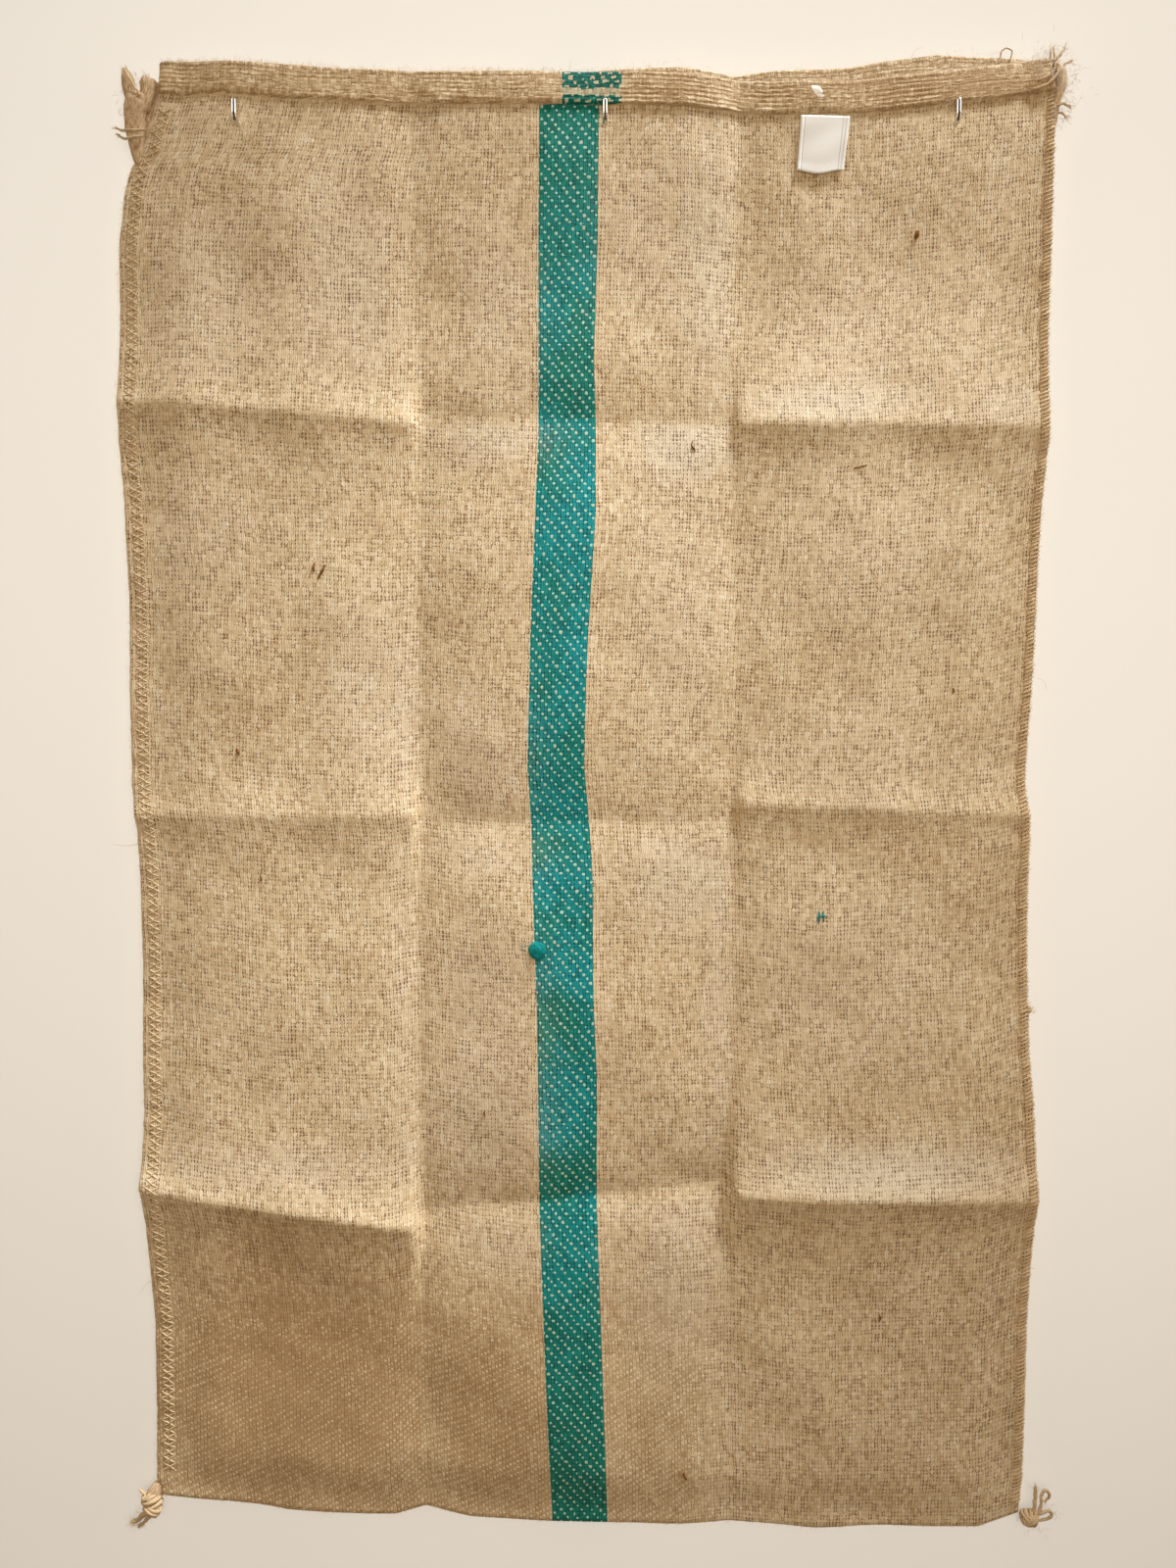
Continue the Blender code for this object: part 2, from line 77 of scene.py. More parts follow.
# The mouth: place across, and height of the front and the back rim.
MOUTH = np.array(
    [
        (-335, 48, 48), (-274, 45.7, 45.7), (-194, 41.3, 41.3), (-147, 41, 41),
        (-42, 38.3, 43.3), (2, 38.7, 48.5), (60, 38, 51), (100, 35, 47), (128, 32.3, 48.5),
        (190, 32.3, 50), (222, 35, 54.7), (262, 40.2, 59.5), (296, 43.7, 57.5), (334, 50, 50),
    ]
)
# The bottom fold: place across, and height.
BOTTOM = np.array(
    [
        (-350, -1054), (-298, -1061), (-251, -1070), (-165, -1072.5), (-141, -1065.5),
        (-105, -1072.5), (-40, -1076), (49, -1077.5), (99, -1077), (165, -1082), (296, -1080),
        (328, -1068.7),
    ]
)
# Upright creases: height, place across, and how far the crease falls back.
LEFT_CREASE = np.array(
    [(50, -147, 5), (0, -146, 5.5), (-120, -143, 7), (-219, -141.5, 7.5), (-518, -143, 7.5),
     (-832, -145, 7.5), (-1060, -140.5, 7)]
)
RIGHT_CREASE = np.array(
    [(50, 100, 6), (0, 101, 5.5), (-120, 99, 6), (-219, 98, 6.5), (-518, 101, 6), (-805, 97, 6),
     (-1070, 98, 4)]
)
# Level creases: panel, height at its left and right end, how far it stands out, reach above and
# below.
LEVEL_CREASES = (
    ("left", -201, -219, 6.5, 42, 34),
    ("centre", -212, -219, -4, 40, 36),
    ("right", -219, -222, 6.5, 44, 30),
    ("left", -515, -517, 4.5, 34, 30),
    ("centre", -521, -521, -3.5, 34, 40),
    ("right", -507, -515, 5.5, 30, 34),
    ("left", -803, -836, 9, 46, 36),
    ("centre", -824, -802, -6.5, 44, 40),
    ("right", -809, -812, 10, 46, 30),
)
# Swellings between the creases: place across, height, half width, half height, and rise.
SWELLINGS = (
    (-236, -110, 26, 95, 3.0), (-285, -120, 24, 95, -2.5), (225, -115, 110, 75, -4.5),
    (30, -105, 80, 70, -3.0), (-250, -370, 75, 90, 3.0), (-40, -370, 80, 90, 3.0),
    (215, -360, 75, 90, 3.0), (-250, -660, 75, 90, 3.0), (-48, -670, 80, 90, 3.0),
    (210, -660, 75, 90, 3.0), (-235, -1050, 75, 150, -8.0), (-50, -940, 80, 80, 3.5),
    (215, -1045, 95, 130, -3.5),
)
LEAN = np.array(
    [(50, 0), (0, -0.5), (-130, -4.5), (-300, -2), (-600, 0), (-815, 1.5), (-1075, -5)]
)
# Painted light and painted shade on the cloth: pale patches where it faces the window light and,
# below zero, darker patches where it is shaded, low on the left and on the hem to the right: panel
# and row, place across, height, half width, half height, and how much. Each patch ends at the
# creases round its panel.
PAINTED_LIGHT_AND_SHADE_PATCHES = (
    (0, 0, -303, -128, 44, 81, 0.35),
    (0, 0, -194, -118, 46, 85, 0.45),
    (1, 0, -82, -128, 26, 66, 0.40),
    (1, 0, 79, -100, 25, 103, 0.60),
    (1, 0, 27, -79, 29, 59, 0.30),
    (2, 0, 169, -205, 59, 16, 0.80),
    (2, 0, 304, -207, 29, 18, 0.60),
    (2, 0, 205, -157, 96, 59, 0.30),
    (1, 1, -87, -229, 38, 21, 0.70),
    (1, 1, 60, -234, 37, 26, 1.00),
    (1, 1, 53, -359, 37, 110, 0.35),
    (0, 1, -180, -425, 33, 85, 0.40),
    (0, 1, -151, -440, 12, 81, 0.30),
    (1, 2, 55, -565, 43, 40, 0.60),
    (1, 2, -87, -545, 37, 21, 0.35),
    (1, 2, 88, -670, 13, 110, 0.40),
    (0, 2, -237, -787, 96, 18, 0.45),
    (0, 2, -154, -647, 13, 125, 0.30),
    (2, 2, 220, -790, 106, 24, 1.00),
    (1, 3, -84, -851, 33, 37, 0.35),
    (1, 3, 55, -866, 40, 70, 0.50),
    (2, 1, 192, -316, 74, 81, 0.25),
    (1, 2, -90, -690, 40, 90, 0.40),
    (1, 1, -95, -470, 35, 60, 0.35),
    (1, 2, -90, -765, 40, 36, 0.30),
    (2, 2, 180, -640, 80, 80, 0.30),
    (2, 1, 190, -490, 80, 60, 0.25),
    (0, 1, -300, -310, 50, 60, 0.20),
    (0, 3, -240, -950, 120, 130, -0.75),
    (1, 3, -92, -980, 50, 110, -0.45),
    (2, 0, 240, 28, 110, 13, -0.70),
    (1, 0, 60, 28, 50, 13, -0.40),
)

# ---- weave and stripe ----
END = 2.67  # across a double warp end
PICK = 3.28  # from one weft to the next
WIDE = 690.0  # width of the cloth from side to side
LONG = 1115.0  # length of one layer from rim to fold
# The stripe in the warp: height, and its left and right edge.
STRIPE = np.array(
    [
        (50, -49, -4.5), (15, -49.1, -4.7), (-82, -50, -5.4), (-168, -50.2, -8.3),
        (-226, -50.3, -6.8), (-285, -52.6, -6.8), (-380, -56.4, -12.7), (-417, -57.3, -14.2),
        (-477, -58.9, -15.7), (-529, -56, -11.2), (-566, -55.3, -9), (-657, -52.1, -8.6),
        (-718, -51.1, -5.9), (-821, -50.5, -5.9), (-979, -44.7, -0.5), (-1070, -41, 2.6),
    ]
)
STRIPE_FROM, STRIPE_TO = 306.0, 350.0  # the same edges on the flat cloth
HEM_SHIFT = 17.0  # the turned hem carries the stripe this far to the right

# ---- the fine mesh ----
PANEL_COLUMNS = 50
EDGE_COLUMNS = (0.0018, 0.005, 0.010)
BAND_ROWS = (40, 60, 60, 52)
LAST_ROWS = [0.997, 0.999]  # shares of the last band, where the bottom fold rounds
RIM_HEIGHT, BELOW_HEM = 20.0, 3.0
CREASE_ROWS, LOWEST = (-215.0, -517.0, -815.0), -1065.0  # usual heights of the level creases
HEM_STEPS = 28
RIM_ROUND = 2.1  # height of the rim's round above the rows below it
RIM_TURNS = (-65, -40, -15, 15, 40, 65)  # degrees, from the inside to the outside
INNER_SHARE = 6  # the inside has a row for this many rows outside

SMALL_WAVES = np.random.default_rng(7)
# Small waves of the cloth: direction, pitch, start and height.
WAVES = [
    (
        SMALL_WAVES.uniform(0, np.pi),
        2 * np.pi / SMALL_WAVES.uniform(38, 150),
        SMALL_WAVES.uniform(0, 2 * np.pi),
        SMALL_WAVES.uniform(0.10, 0.34),
    )
    for _ in range(16)
]


# ---- how the cloth hangs ----
def along(table, column, place):
    """A table's column read at a place along its first column, which may run either way."""
    order = np.argsort(table[:, 0])
    return np.interp(place, table[order, 0], table[order, column])


def smooth(t):
    t = np.clip(t, 0, 1)
    return t * t * (3 - 2 * t)


def crease(distance, reach):
    """1 on the crease, rounded there, and dying out with distance from it."""
    rounded = np.sqrt(distance**2 + CREASE_ROUND**2) - CREASE_ROUND
    near, wide = np.exp(-rounded / SHARP_REACH), np.exp(-rounded / reach)
    return SHARP_SHARE * near + (1 - SHARP_SHARE) * wide


def relief(x, z):
    """How far the cloth stands out of its middle depth at a place."""
    left, right = along(LEFT_CREASE, 1, z), along(RIGHT_CREASE, 1, z)
    out = along(LEAN, 1, z)
    for line, table in ((left, LEFT_CREASE), (right, RIGHT_CREASE)):
        out = out - along(table, 2, z) * crease(x - line, CREASE_REACH)
    panels = {
        "left": (along(SIDES, 1, z), left, 1 - smooth((x - left) / PANEL_BLEND + 0.5)),
        "right": (right, along(SIDES, 2, z), smooth((x - right) / PANEL_BLEND + 0.5)),
    }
    inside = 1 - panels["left"][2] - panels["right"][2]
    panels["centre"] = (left, right, inside)
    for panel, start, end, height, above, below in LEVEL_CREASES:
        begin, finish, share = panels[panel]
        line = start + (end - start) * np.clip((x - begin) / (finish - begin), 0, 1)
        distance = z - line
        out = out + height * share * crease(distance, np.where(distance > 0, above, below))
    for x0, z0, wide, high, rise in SWELLINGS:
        out = out + rise * np.exp(-(((x - x0) / wide) ** 2) - ((z - z0) / high) ** 2)
    back = np.minimum(out, 0) / DEEPEST
    return np.maximum(out, 0) + DEEPEST * back / (1 + back**4) ** 0.25


def front_rim(x):
    return along(MOUTH, 1, x)


def back_rim(x):
    return along(MOUTH, 2, x)


def floor_line(x):
    return along(BOTTOM, 1, x)


def rubbed(x, z):
    """Painted light at a place, up to 1, and painted shade, down to -1."""
    left, right = along(LEFT_CREASE, 1, z), along(RIGHT_CREASE, 1, z)
    past = [smooth((x - line) / 5 + 0.5) for line in (left, right)]
    panels = (1 - past[0], past[0] * (1 - past[1]), past[1])
    under = [smooth((level_line(row, x) - z) / 4 + 0.5) for row in range(3)]
    rows = (1 - under[0], under[0] * (1 - under[1]), under[1] * (1 - under[2]), under[2])
    pale = 0.0 * x
    for panel, row, x0, z0, wide, high, strength in PAINTED_LIGHT_AND_SHADE_PATCHES:
        away = ((x - x0) / wide) ** 2 + ((z - z0) / high) ** 2
        pale = pale + strength * panels[panel] * rows[row] * np.exp(-(away**1.3))
    return np.clip(pale, -1, 1)


def from_side(x, z):
    return np.minimum(x - along(SIDES, 1, z), along(SIDES, 2, z) - x)


def crumple(x, z):
    """Small unevenness of the cloth, with puckers below the hem and along the side sewing."""
    out = 0.0 * x
    for turn, pitch, start, height in WAVES:
        out = out + height * np.cos(pitch * (x * np.cos(turn) + z * np.sin(turn)) + start)
    below = front_rim(x) - HEM_DEPTH - z
    pucker = np.cos(2 * np.pi * (x + 9 * np.sin(x / 31)) / PUCKER_PITCH)
    fading = np.exp(-np.clip(below, 0, None) / PUCKER_REACH) * smooth(below / 8 + 1)
    pull = np.cos(2 * np.pi * (z + 7 * np.sin(z / 23)) / PULL_PITCH)
    return out + PUCKER * pucker * fading + PULL * pull * np.exp(-from_side(x, z) / PULL_REACH)


def middle(x, z):
    return MIDDLE + relief(x, z) + crumple(x, z)


def gap_part(x, z, side):
    """A layer's part of the air between the two: none at the seams and the bottom fold."""
    to_side = from_side(x, z) - SEAM
    to_floor = z - floor_line(x) - FOLD
    part = GAP_IN_FRONT if side == 1 else GAP_BEHIND
    return part * smooth(to_side / OPENS_OVER) * smooth(to_floor / OPENS_OVER)


def edge_round(x, z):
    """0 on the side edges and the bottom fold, and 1 a little way in, where a layer is whole."""
    nearest = np.minimum(from_side(x, z), z - floor_line(x))
    return np.sqrt(np.clip(nearest / (1.5 * CLOTH), 0, 1))


def hem_thickness(x, z, rim):
    """What the turned hem adds: it is domed, ribbed by its wefts and uneven at its lower edge."""
    down = rim(x) - z
    depth = HEM_DEPTH + 0.9 * np.sin(x / 37) + 0.5 * np.sin(x / 13.7)
    inside = 1 - smooth((down - depth + 1.4) / 1.6)
    dome = 0.84 + 0.16 * np.sin(np.pi * np.clip(down / depth, 0, 1))
    place = down + 0.8 * np.sin(x / 29) + 0.5 * np.sin(x / 11)
    return (HEM_RAISE * dome + HEM_RIB * np.cos(2 * np.pi * place / PICK)) * inside


def thickness(x, z, side):
    """From the middle of a hanging place to the outer face of the front (1) or back (-1)."""
    rim = front_rim if side == 1 else back_rim
    return gap_part(x, z, side) + (CLOTH + hem_thickness(x, z, rim)) * edge_round(x, z)


def face_depth(x, z, side=1):
    return middle(x, z) + side * thickness(x, z, side)


# ---- small tools ----
def linear(code):
    """The linear colour of an sRGB hex code."""
    values = [int(code[n : n + 2], 16) / 255 for n in (0, 2, 4)]
    return [c / 12.92 if c <= 0.04045 else ((c + 0.055) / 1.055) ** 2.4 for c in values]


def fill(tree, node, links):
    """Gives a node's inputs numbers, hex colours or other nodes' sockets."""
    for name, value in links.items():
        socket = node.inputs[name]
        if isinstance(value, bpy.types.NodeSocket):
            tree.links.new(value, socket)
        else:
            socket.default_value = (*linear(value), 1) if isinstance(value, str) else value


def add(tree, kind, links=None, **settings):
    """Adds a node with its settings and links."""
    made = tree.nodes.new(kind)
    for name, value in settings.items():
        setattr(made, name, value)
    fill(tree, made, links or {})
    return made.outputs[0]


# What a step may add besides a sum: the node, its settings, the inputs that the step fills, and
# its first output.
KINDS = {
    "CLOTH_MAP": ("ShaderNodeUVMap", {"uv_map": "length"}, (), 0),
    # The painted light and shade that the sack keeps on its points.
    "RUBBED_MAP": ("ShaderNodeAttribute", {"attribute_name": "rubbed"}, (), "Fac"),
    "OBJECT_MAP": ("ShaderNodeTexCoord", {}, (), "Object"),
    "SPLIT": ("ShaderNodeSeparateXYZ", {}, (0,), 0),
    "JOIN": ("ShaderNodeCombineXYZ", {}, (0, 1), 0),
    "CHANCE": ("ShaderNodeTexWhiteNoise", {"noise_dimensions": "2D"}, ("Vector",), "Color"),
    "NOISE": ("ShaderNodeTexNoise", {}, ("Vector", "Scale", "Detail", "Roughness"), 0),
    "NOISE_3": ("ShaderNodeTexNoise", {}, ("Vector", "Scale", "Detail"), "Color"),
    "SOFT_STEP": ("ShaderNodeMapRange", {"interpolation_type": "SMOOTHSTEP"}, (0, 1, 2), 0),
    "BLEND": ("ShaderNodeMix", {"data_type": "RGBA"}, (0, 6, 7), 2),
    "BUMP": ("ShaderNodeBump", {}, ("Height", "Strength", "Distance"), 0),
}


def work_out(tree, known, steps):
    """Adds a node for each (name, kind, inputs...) step.

    A kind that isn't in KINDS is an operation of a Math node or, after VECTOR_, of a Vector Math
    node. An input is the name of an earlier step, a number or a hex colour. A step with a tuple
    of names keeps an output for each.
    """
    for names, kind, *inputs in steps:
        vector = kind.startswith("VECTOR_")
        node = "ShaderNodeVectorMath" if vector else "ShaderNodeMath"
        usual = (node, {"operation": kind.removeprefix("VECTOR_")}, (0, 1, 2), 0)
        node, settings, sockets, first = KINDS.get(kind, usual)
        values = [known.get(i, i) if isinstance(i, str) else i for i in inputs]
        outputs = add(tree, node, dict(zip(sockets, values)), **settings).node.outputs
        first = outputs.find(first) if isinstance(first, str) else first
        names = names if isinstance(names, tuple) else (names,)
        known.update(zip(names, outputs[first:]))
    return known


def new_material(name, steps=(), **sockets):
    """A material whose shader's sockets hold numbers, hex colours or the ends of steps."""
    made = bpy.data.materials.new(name)
    made.use_nodes = True
    tree = made.node_tree
    known = work_out(tree, {}, steps)
    ends = {
        socket.replace("_", " "): known.get(value, value) if isinstance(value, str) else value
        for socket, value in sockets.items()
    }
    fill(tree, tree.nodes["Principled BSDF"], ends)
    return made


def put_in_scene(name, points, faces, finishes, uv=None, slots=None, place_uv=None):
    """A mesh piece from places in millimetres. uv has a pair for each point."""
    mesh = bpy.data.meshes.new(name)
    points = np.asarray(points, float)
    places = np.column_stack([points[:, 0], -points[:, 1], points[:, 2]]) * MM
    mesh.from_pydata(places.tolist(), [], faces)
    for finish in finishes:
        mesh.materials.append(finish)
    if slots is not None:
        mesh.polygons.foreach_set("material_index", slots)
    if uv is not None or place_uv is not None:
        layer = mesh.uv_layers.new(name="length")
        if place_uv is not None:
            values = np.asarray(place_uv, float)
        else:
            corner = np.zeros(len(mesh.loops), dtype=int)
            mesh.loops.foreach_get("vertex_index", corner)
            values = np.asarray(uv, float)[corner]
        layer.data.foreach_set("uv", values.ravel())
    mesh.shade_smooth()
    mesh.validate()
    piece = bpy.data.objects.new(name, mesh)
    bpy.context.scene.collection.objects.link(piece)
    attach(piece, BODY)
    return piece


# ---- materials ----
YARN = ("B2946A", "DEC8A1", "F6EDD6")  # dark, middle and light
# Painted shade down between the yarns, on the natural cloth and in the stripe.
HOLE_SHADE, STRIPE_HOLE_SHADE = "6E4622", "04443F"
TEAL_GREEN = ("00594D", "077E6F", "169A88")  # the dye is greener where it has faded
TEAL_BLUE = ("006269", "058E92", "10A6AA")
# The pale tint of the painted light.
PAINTED_LIGHT_TINT = "E6DECB"
STRIPE_DOT = "9CDDD2"
TONES_AT = (0.15, 0.5, 0.85)  # tones of the dark, the middle and the light yarn
LEAST_DOT = 0.24  # height from which a crossing yarn may show as a dot
FLOAT_OVER = 3.0  # the weave repeats every three yarns: up for two, down for one
CLOSER_BY = 1.5  # yarns by which it repeats sooner where the cloth is beaten tighter
TIGHT_FROM, TIGHT_TO = 850.0, 1010.0  # down from the rim, where that sets in
TIGHT_RIGHT, TIGHT_LEFT = 455.0, 400.0  # across from the left side, where it ends
# How yarns wander: the size of a wave across and along, and how far it carries them across and
# along on the face and on the reverse.
WANDER = (
    ((60, 60), (3.0, 4.4), (3.0, 4.4)),
    ((3.4, 26), (2.1, 0), (2.1, 0)),
    ((22, 4.2), (0, 2.6), (0, 3.6)),
    ((5.5, 3.6), None, (0, 3.4)),
    ((1.7, 1.7), (0.95, 1.25), (0.95, 1.25)),
)


def wander_steps(reverse):
    """Yarns wander: slowly in all directions, and each one by itself along its length."""
    steps = [("plain", "CLOTH_MAP"), (("flat_u", "flat_v"), "SPLIT", "plain")]
    moved = "plain"
    for number, (waves, *drifts) in enumerate(WANDER):
        if drifts[reverse]:
            spread, noise, centred = f"spread_{number}", f"noise_{number}", f"centred_{number}"
            before, moved = moved, f"moved_{number}"
            steps += [
                (spread, "VECTOR_MULTIPLY", "plain", (1 / waves[0], 1 / waves[1], 1)),
                (noise, "NOISE_3", spread, 1.0, 1.0),
                (centred, "VECTOR_SUBTRACT", noise, (0.5, 0.5, 0.5)),
                (moved, "VECTOR_MULTIPLY_ADD", centred, (*drifts[reverse], 0), before),
            ]
    streak_size = (0.22, 1.5, 1) if reverse else (1.9, 0.30, 1)  # streaks run along the floats
    return steps + [
        (("u", "v"), "SPLIT", moved),
        ("drawn", "VECTOR_MULTIPLY", moved, streak_size),
        ("streak", "NOISE", "drawn", 1.0, 2.0),
        ("grain", "NOISE", "plain", 1.3, 3.0, 0.7),
        ("patch", "NOISE", "plain", 0.016, 4.0),
        # The yarns by number, and each crossing's own chances: how open its hole is, and how big
        # and how pale its dot is.
        ("e", "DIVIDE", "u", END),
        ("p", "DIVIDE", "v", PICK),
        ("end", "FLOOR", "e"),
        ("pick", "FLOOR", "p"),
        ("a", "FRACT", "e"),
        ("d", "FRACT", "p"),
        ("cell", "JOIN", "end", "pick"),
        ("own", "CHANCE", "cell"),
        (("c1", "c2", "c3"), "SPLIT", "own"),
        ("after_left", "GREATER_THAN", "flat_u", STRIPE_FROM),
        ("before_right", "LESS_THAN", "flat_u", STRIPE_TO),
        ("in_stripe", "MULTIPLY", "after_left", "before_right"),
        # Low on the left the undyed cloth is beaten tighter, and its weft shows twice as often.
        ("low_down", "SOFT_STEP", "flat_v", TIGHT_FROM, TIGHT_TO),
        ("leftward", "SOFT_STEP", "flat_u", TIGHT_RIGHT, TIGHT_LEFT),
        ("undyed", "SUBTRACT", 1.0, "in_stripe"),
        ("low_left", "MULTIPLY", "low_down", "leftward"),
        ("tight", "MULTIPLY", "low_left", "undyed"),
        ("closer", "GREATER_THAN", "tight", "c2"),
        ("period", "MULTIPLY_ADD", "closer", -CLOSER_BY, FLOAT_OVER),
    ]


def weave_steps(reverse):
    """A 2/1 twill on u and v. The face floats its double warp ends, the reverse its wefts."""
    if reverse:
        steps = [
            ("run", "SUBTRACT", "e", "pick"),
            # In the stripe of the reverse nearly every dot shows.
            ("least_dot", "MULTIPLY_ADD", "in_stripe", -0.34, LEAST_DOT),
        ]
    else:
        steps = [
            ("run", "SUBTRACT", "p", "end"),
            # A double end shows as two strands side by side.
            ("float_pair", "MULTIPLY", "a", 2.0),
            ("strand", "FRACT", "float_pair"),
        ]
    return steps + [
        ("dot_middle", "MULTIPLY_ADD", "c2", 0.22, 0.39),
        ("dot_far", "SUBTRACT", "d" if reverse else "a", "dot_middle"),
        # How far from the middle of the short float, where the crossing yarn comes up.
        ("shifted", "ADD", "run", 1.0),
        ("repeat", "FLOORED_MODULO", "shifted", "period"),
        ("chance_place", "MULTIPLY_ADD", "c3", 0.113, 0.443),
        ("strayed", "MULTIPLY", "period", "chance_place"),
        ("off", "SUBTRACT", "repeat", "strayed"),
        ("far", "ABSOLUTE", "off"),
        # Round section of each strand.
        ("f1", "SUBTRACT", "d" if reverse else "strand", 0.5),
        ("f2", "DIVIDE", "f1", 0.50),
        ("f3", "POWER", "f2", 2.0),
        ("float_round", "SUBTRACT", 1.0, "f3"),
        ("g2", "DIVIDE", "dot_far", 0.48),
        ("g3", "POWER", "g2", 2.0),
        ("dot_arch", "SUBTRACT", 1.0, "g3"),
        ("h2", "DIVIDE", "far", 0.95 if reverse else 0.40),
        ("h3", "POWER", "h2", 2.0),
        ("dot_round", "SUBTRACT", 1.0, "h3"),
        ("dot_safe", "MAXIMUM", "dot_round", 0.0),
        ("dot_high", "MULTIPLY", "dot_safe", "dot_arch"),
        # A dot shows where the crossing yarn stands high enough for its chance.
        ("low_dot", "MULTIPLY_ADD", "c1", 0.42, "least_dot" if reverse else LEAST_DOT),
        ("is_dot", "GREATER_THAN", "dot_high", "low_dot"),
        ("not_dot", "SUBTRACT", 1.0, "is_dot"),
        ("float_part", "MULTIPLY", "float_round", "not_dot"),
        ("dot_part", "MULTIPLY", "dot_high", 0.75),
        ("top", "MULTIPLY_ADD", "dot_part", "is_dot", "float_part"),
    ]


def hole_steps(reverse):
    """The holes where four yarns cross and the slots between neighbours, open by chance."""
    open_size = (0.16, 0.30, 1) if reverse else (0.30, 0.16, 1)
    return [
        ("a1", "SUBTRACT", "a", 0.5),
        ("a2", "ABSOLUTE", "a1"),
        ("d1", "SUBTRACT", "d", 0.5),
        ("d2", "ABSOLUTE", "d1"),
        ("open_spread", "VECTOR_MULTIPLY", "plain", open_size),
        ("open", "NOISE", "open_spread", 1.0, 1.0),
        ("opened_wide", "MULTIPLY_ADD", "open", 0.22, -0.31),
        ("opened", "MULTIPLY_ADD", "c2", 0.34, "opened_wide"),
        ("hole_a", "ADD", "a2", "opened"),
        ("hole_d", "ADD", "d2", "opened"),
        ("hole_across", "SOFT_STEP", "hole_a", 0.24, 0.42),
        ("hole_down", "SOFT_STEP", "hole_d", 0.14, 0.38),
        ("beside", "SOFT_STEP", "hole_d" if reverse else "hole_a", 0.38, 0.52),
        ("hole", "MULTIPLY", "hole_across", "hole_down"),
        ("slot_share", "MULTIPLY", "c3", 0.50),
        ("slot", "MULTIPLY", "beside", "slot_share"),
        ("looser", "MULTIPLY_ADD", "tight", -0.62, 1.0),
        ("gaps", "MAXIMUM", "hole", "slot"),
        ("open_gaps", "MULTIPLY", "gaps", "looser"),
        # Next to the rim the bent warp shows strokes of painted shade between its ends.
        ("near_rim", "SOFT_STEP", "flat_v", 7.5, 3.0),
        ("tall", "VECTOR_MULTIPLY", "plain", (1.1, 0.14, 1)),
        ("stroke_noise", "NOISE", "tall", 1.0, 1.0),
        ("strokes", "SOFT_STEP", "stroke_noise", 0.47, 0.60),
        ("rim_strokes", "MULTIPLY", "near_rim", "strokes"),
        ("deep", "MAXIMUM", "open_gaps", "rim_strokes"),
    ]


def tone_steps(reverse):
    """Tone of each yarn, changing along it: streaks, grain, patches, painted shade and light."""
    steps = []
    for yarn, own, length, far in (("warp", "end", "v", 15.0), ("weft", "pick", "u", 13.0)):
        steps += [
            (yarn + "_own", "MULTIPLY", own, 7.31),
            (yarn + "_far", "DIVIDE", length, far),
            (yarn + "_place", "JOIN", yarn + "_own", yarn + "_far"),
            (yarn, "NOISE", yarn + "_place", 1.0, 2.0),
        ]
    floats, dots = ("weft", "warp") if reverse else ("warp", "weft")
    least_tone, tone_range, streaks, taken = (
        (-0.13, 0.30, 0.95, 0.83) if reverse else (-0.06, 0.16, 0.55, 0.51)
    )
    return steps + [
        ("cell_tone", "MULTIPLY_ADD", "c1", tone_range, least_tone),
        ("dot_tone", "MULTIPLY_ADD", "is_dot", "cell_tone", "cell_tone"),
        ("t1", "MULTIPLY_ADD", "streak", streaks, "cell_tone" if reverse else "dot_tone"),
        ("t2", "MULTIPLY_ADD", "grain", 0.35, "t1"),
        ("t3", "MULTIPLY_ADD", "tight", -0.17, "t2"),
        ("tight_dot", "MULTIPLY", "tight", "is_dot"),
        ("t4", "MULTIPLY_ADD", "tight_dot", 0.26, "t3"),
        ("t5", "MULTIPLY_ADD", "patch", 0.20, "t4"),
        # Painted light and shade kept on the points: above zero it pales the colour, below zero it
        # darkens the tone.
        ("worn", "RUBBED_MAP"),
        ("soil", "MINIMUM", "worn", 0.0),
        ("t6", "MULTIPLY_ADD", "soil", 0.34, "t5"),
        ("float_tone", "MULTIPLY", floats, "not_dot"),
        ("yarn_tone", "MULTIPLY_ADD", dots, "is_dot", "float_tone"),
        ("t7", "MULTIPLY_ADD", "yarn_tone", 0.55, "t6"),
        # Painted light: the yarns are paler where they stand highest.
        ("t8", "MULTIPLY_ADD", "top", 0.22, "t7"),
        ("tone", "SUBTRACT", "t8", taken),
    ]


# The stripe is dyed in the warp. Where the hem turns, a narrow band of the reverse shows natural
# weft alone.
DYED_FACE = [("dyed", "MULTIPLY", "in_stripe", "not_dot")]
DYED_REVERSE = [
    ("turn_from", "GREATER_THAN", "v", 12.5),
    ("turn_to", "LESS_THAN", "v", 17.5),
    ("turn_band", "MULTIPLY", "turn_from", "turn_to"),
    ("not_turn", "SUBTRACT", 1.0, "turn_band"),
    ("stripe_here", "MULTIPLY", "in_stripe", "not_turn"),
    ("weft_shows", "MULTIPLY_ADD", "c2", 0.30, 0.60),
    ("low_weft", "LESS_THAN", "float_round", "weft_shows"),
    ("warp_shows", "MAXIMUM", "is_dot", "low_weft"),
    ("dyed", "MULTIPLY", "stripe_here", "warp_shows"),
]


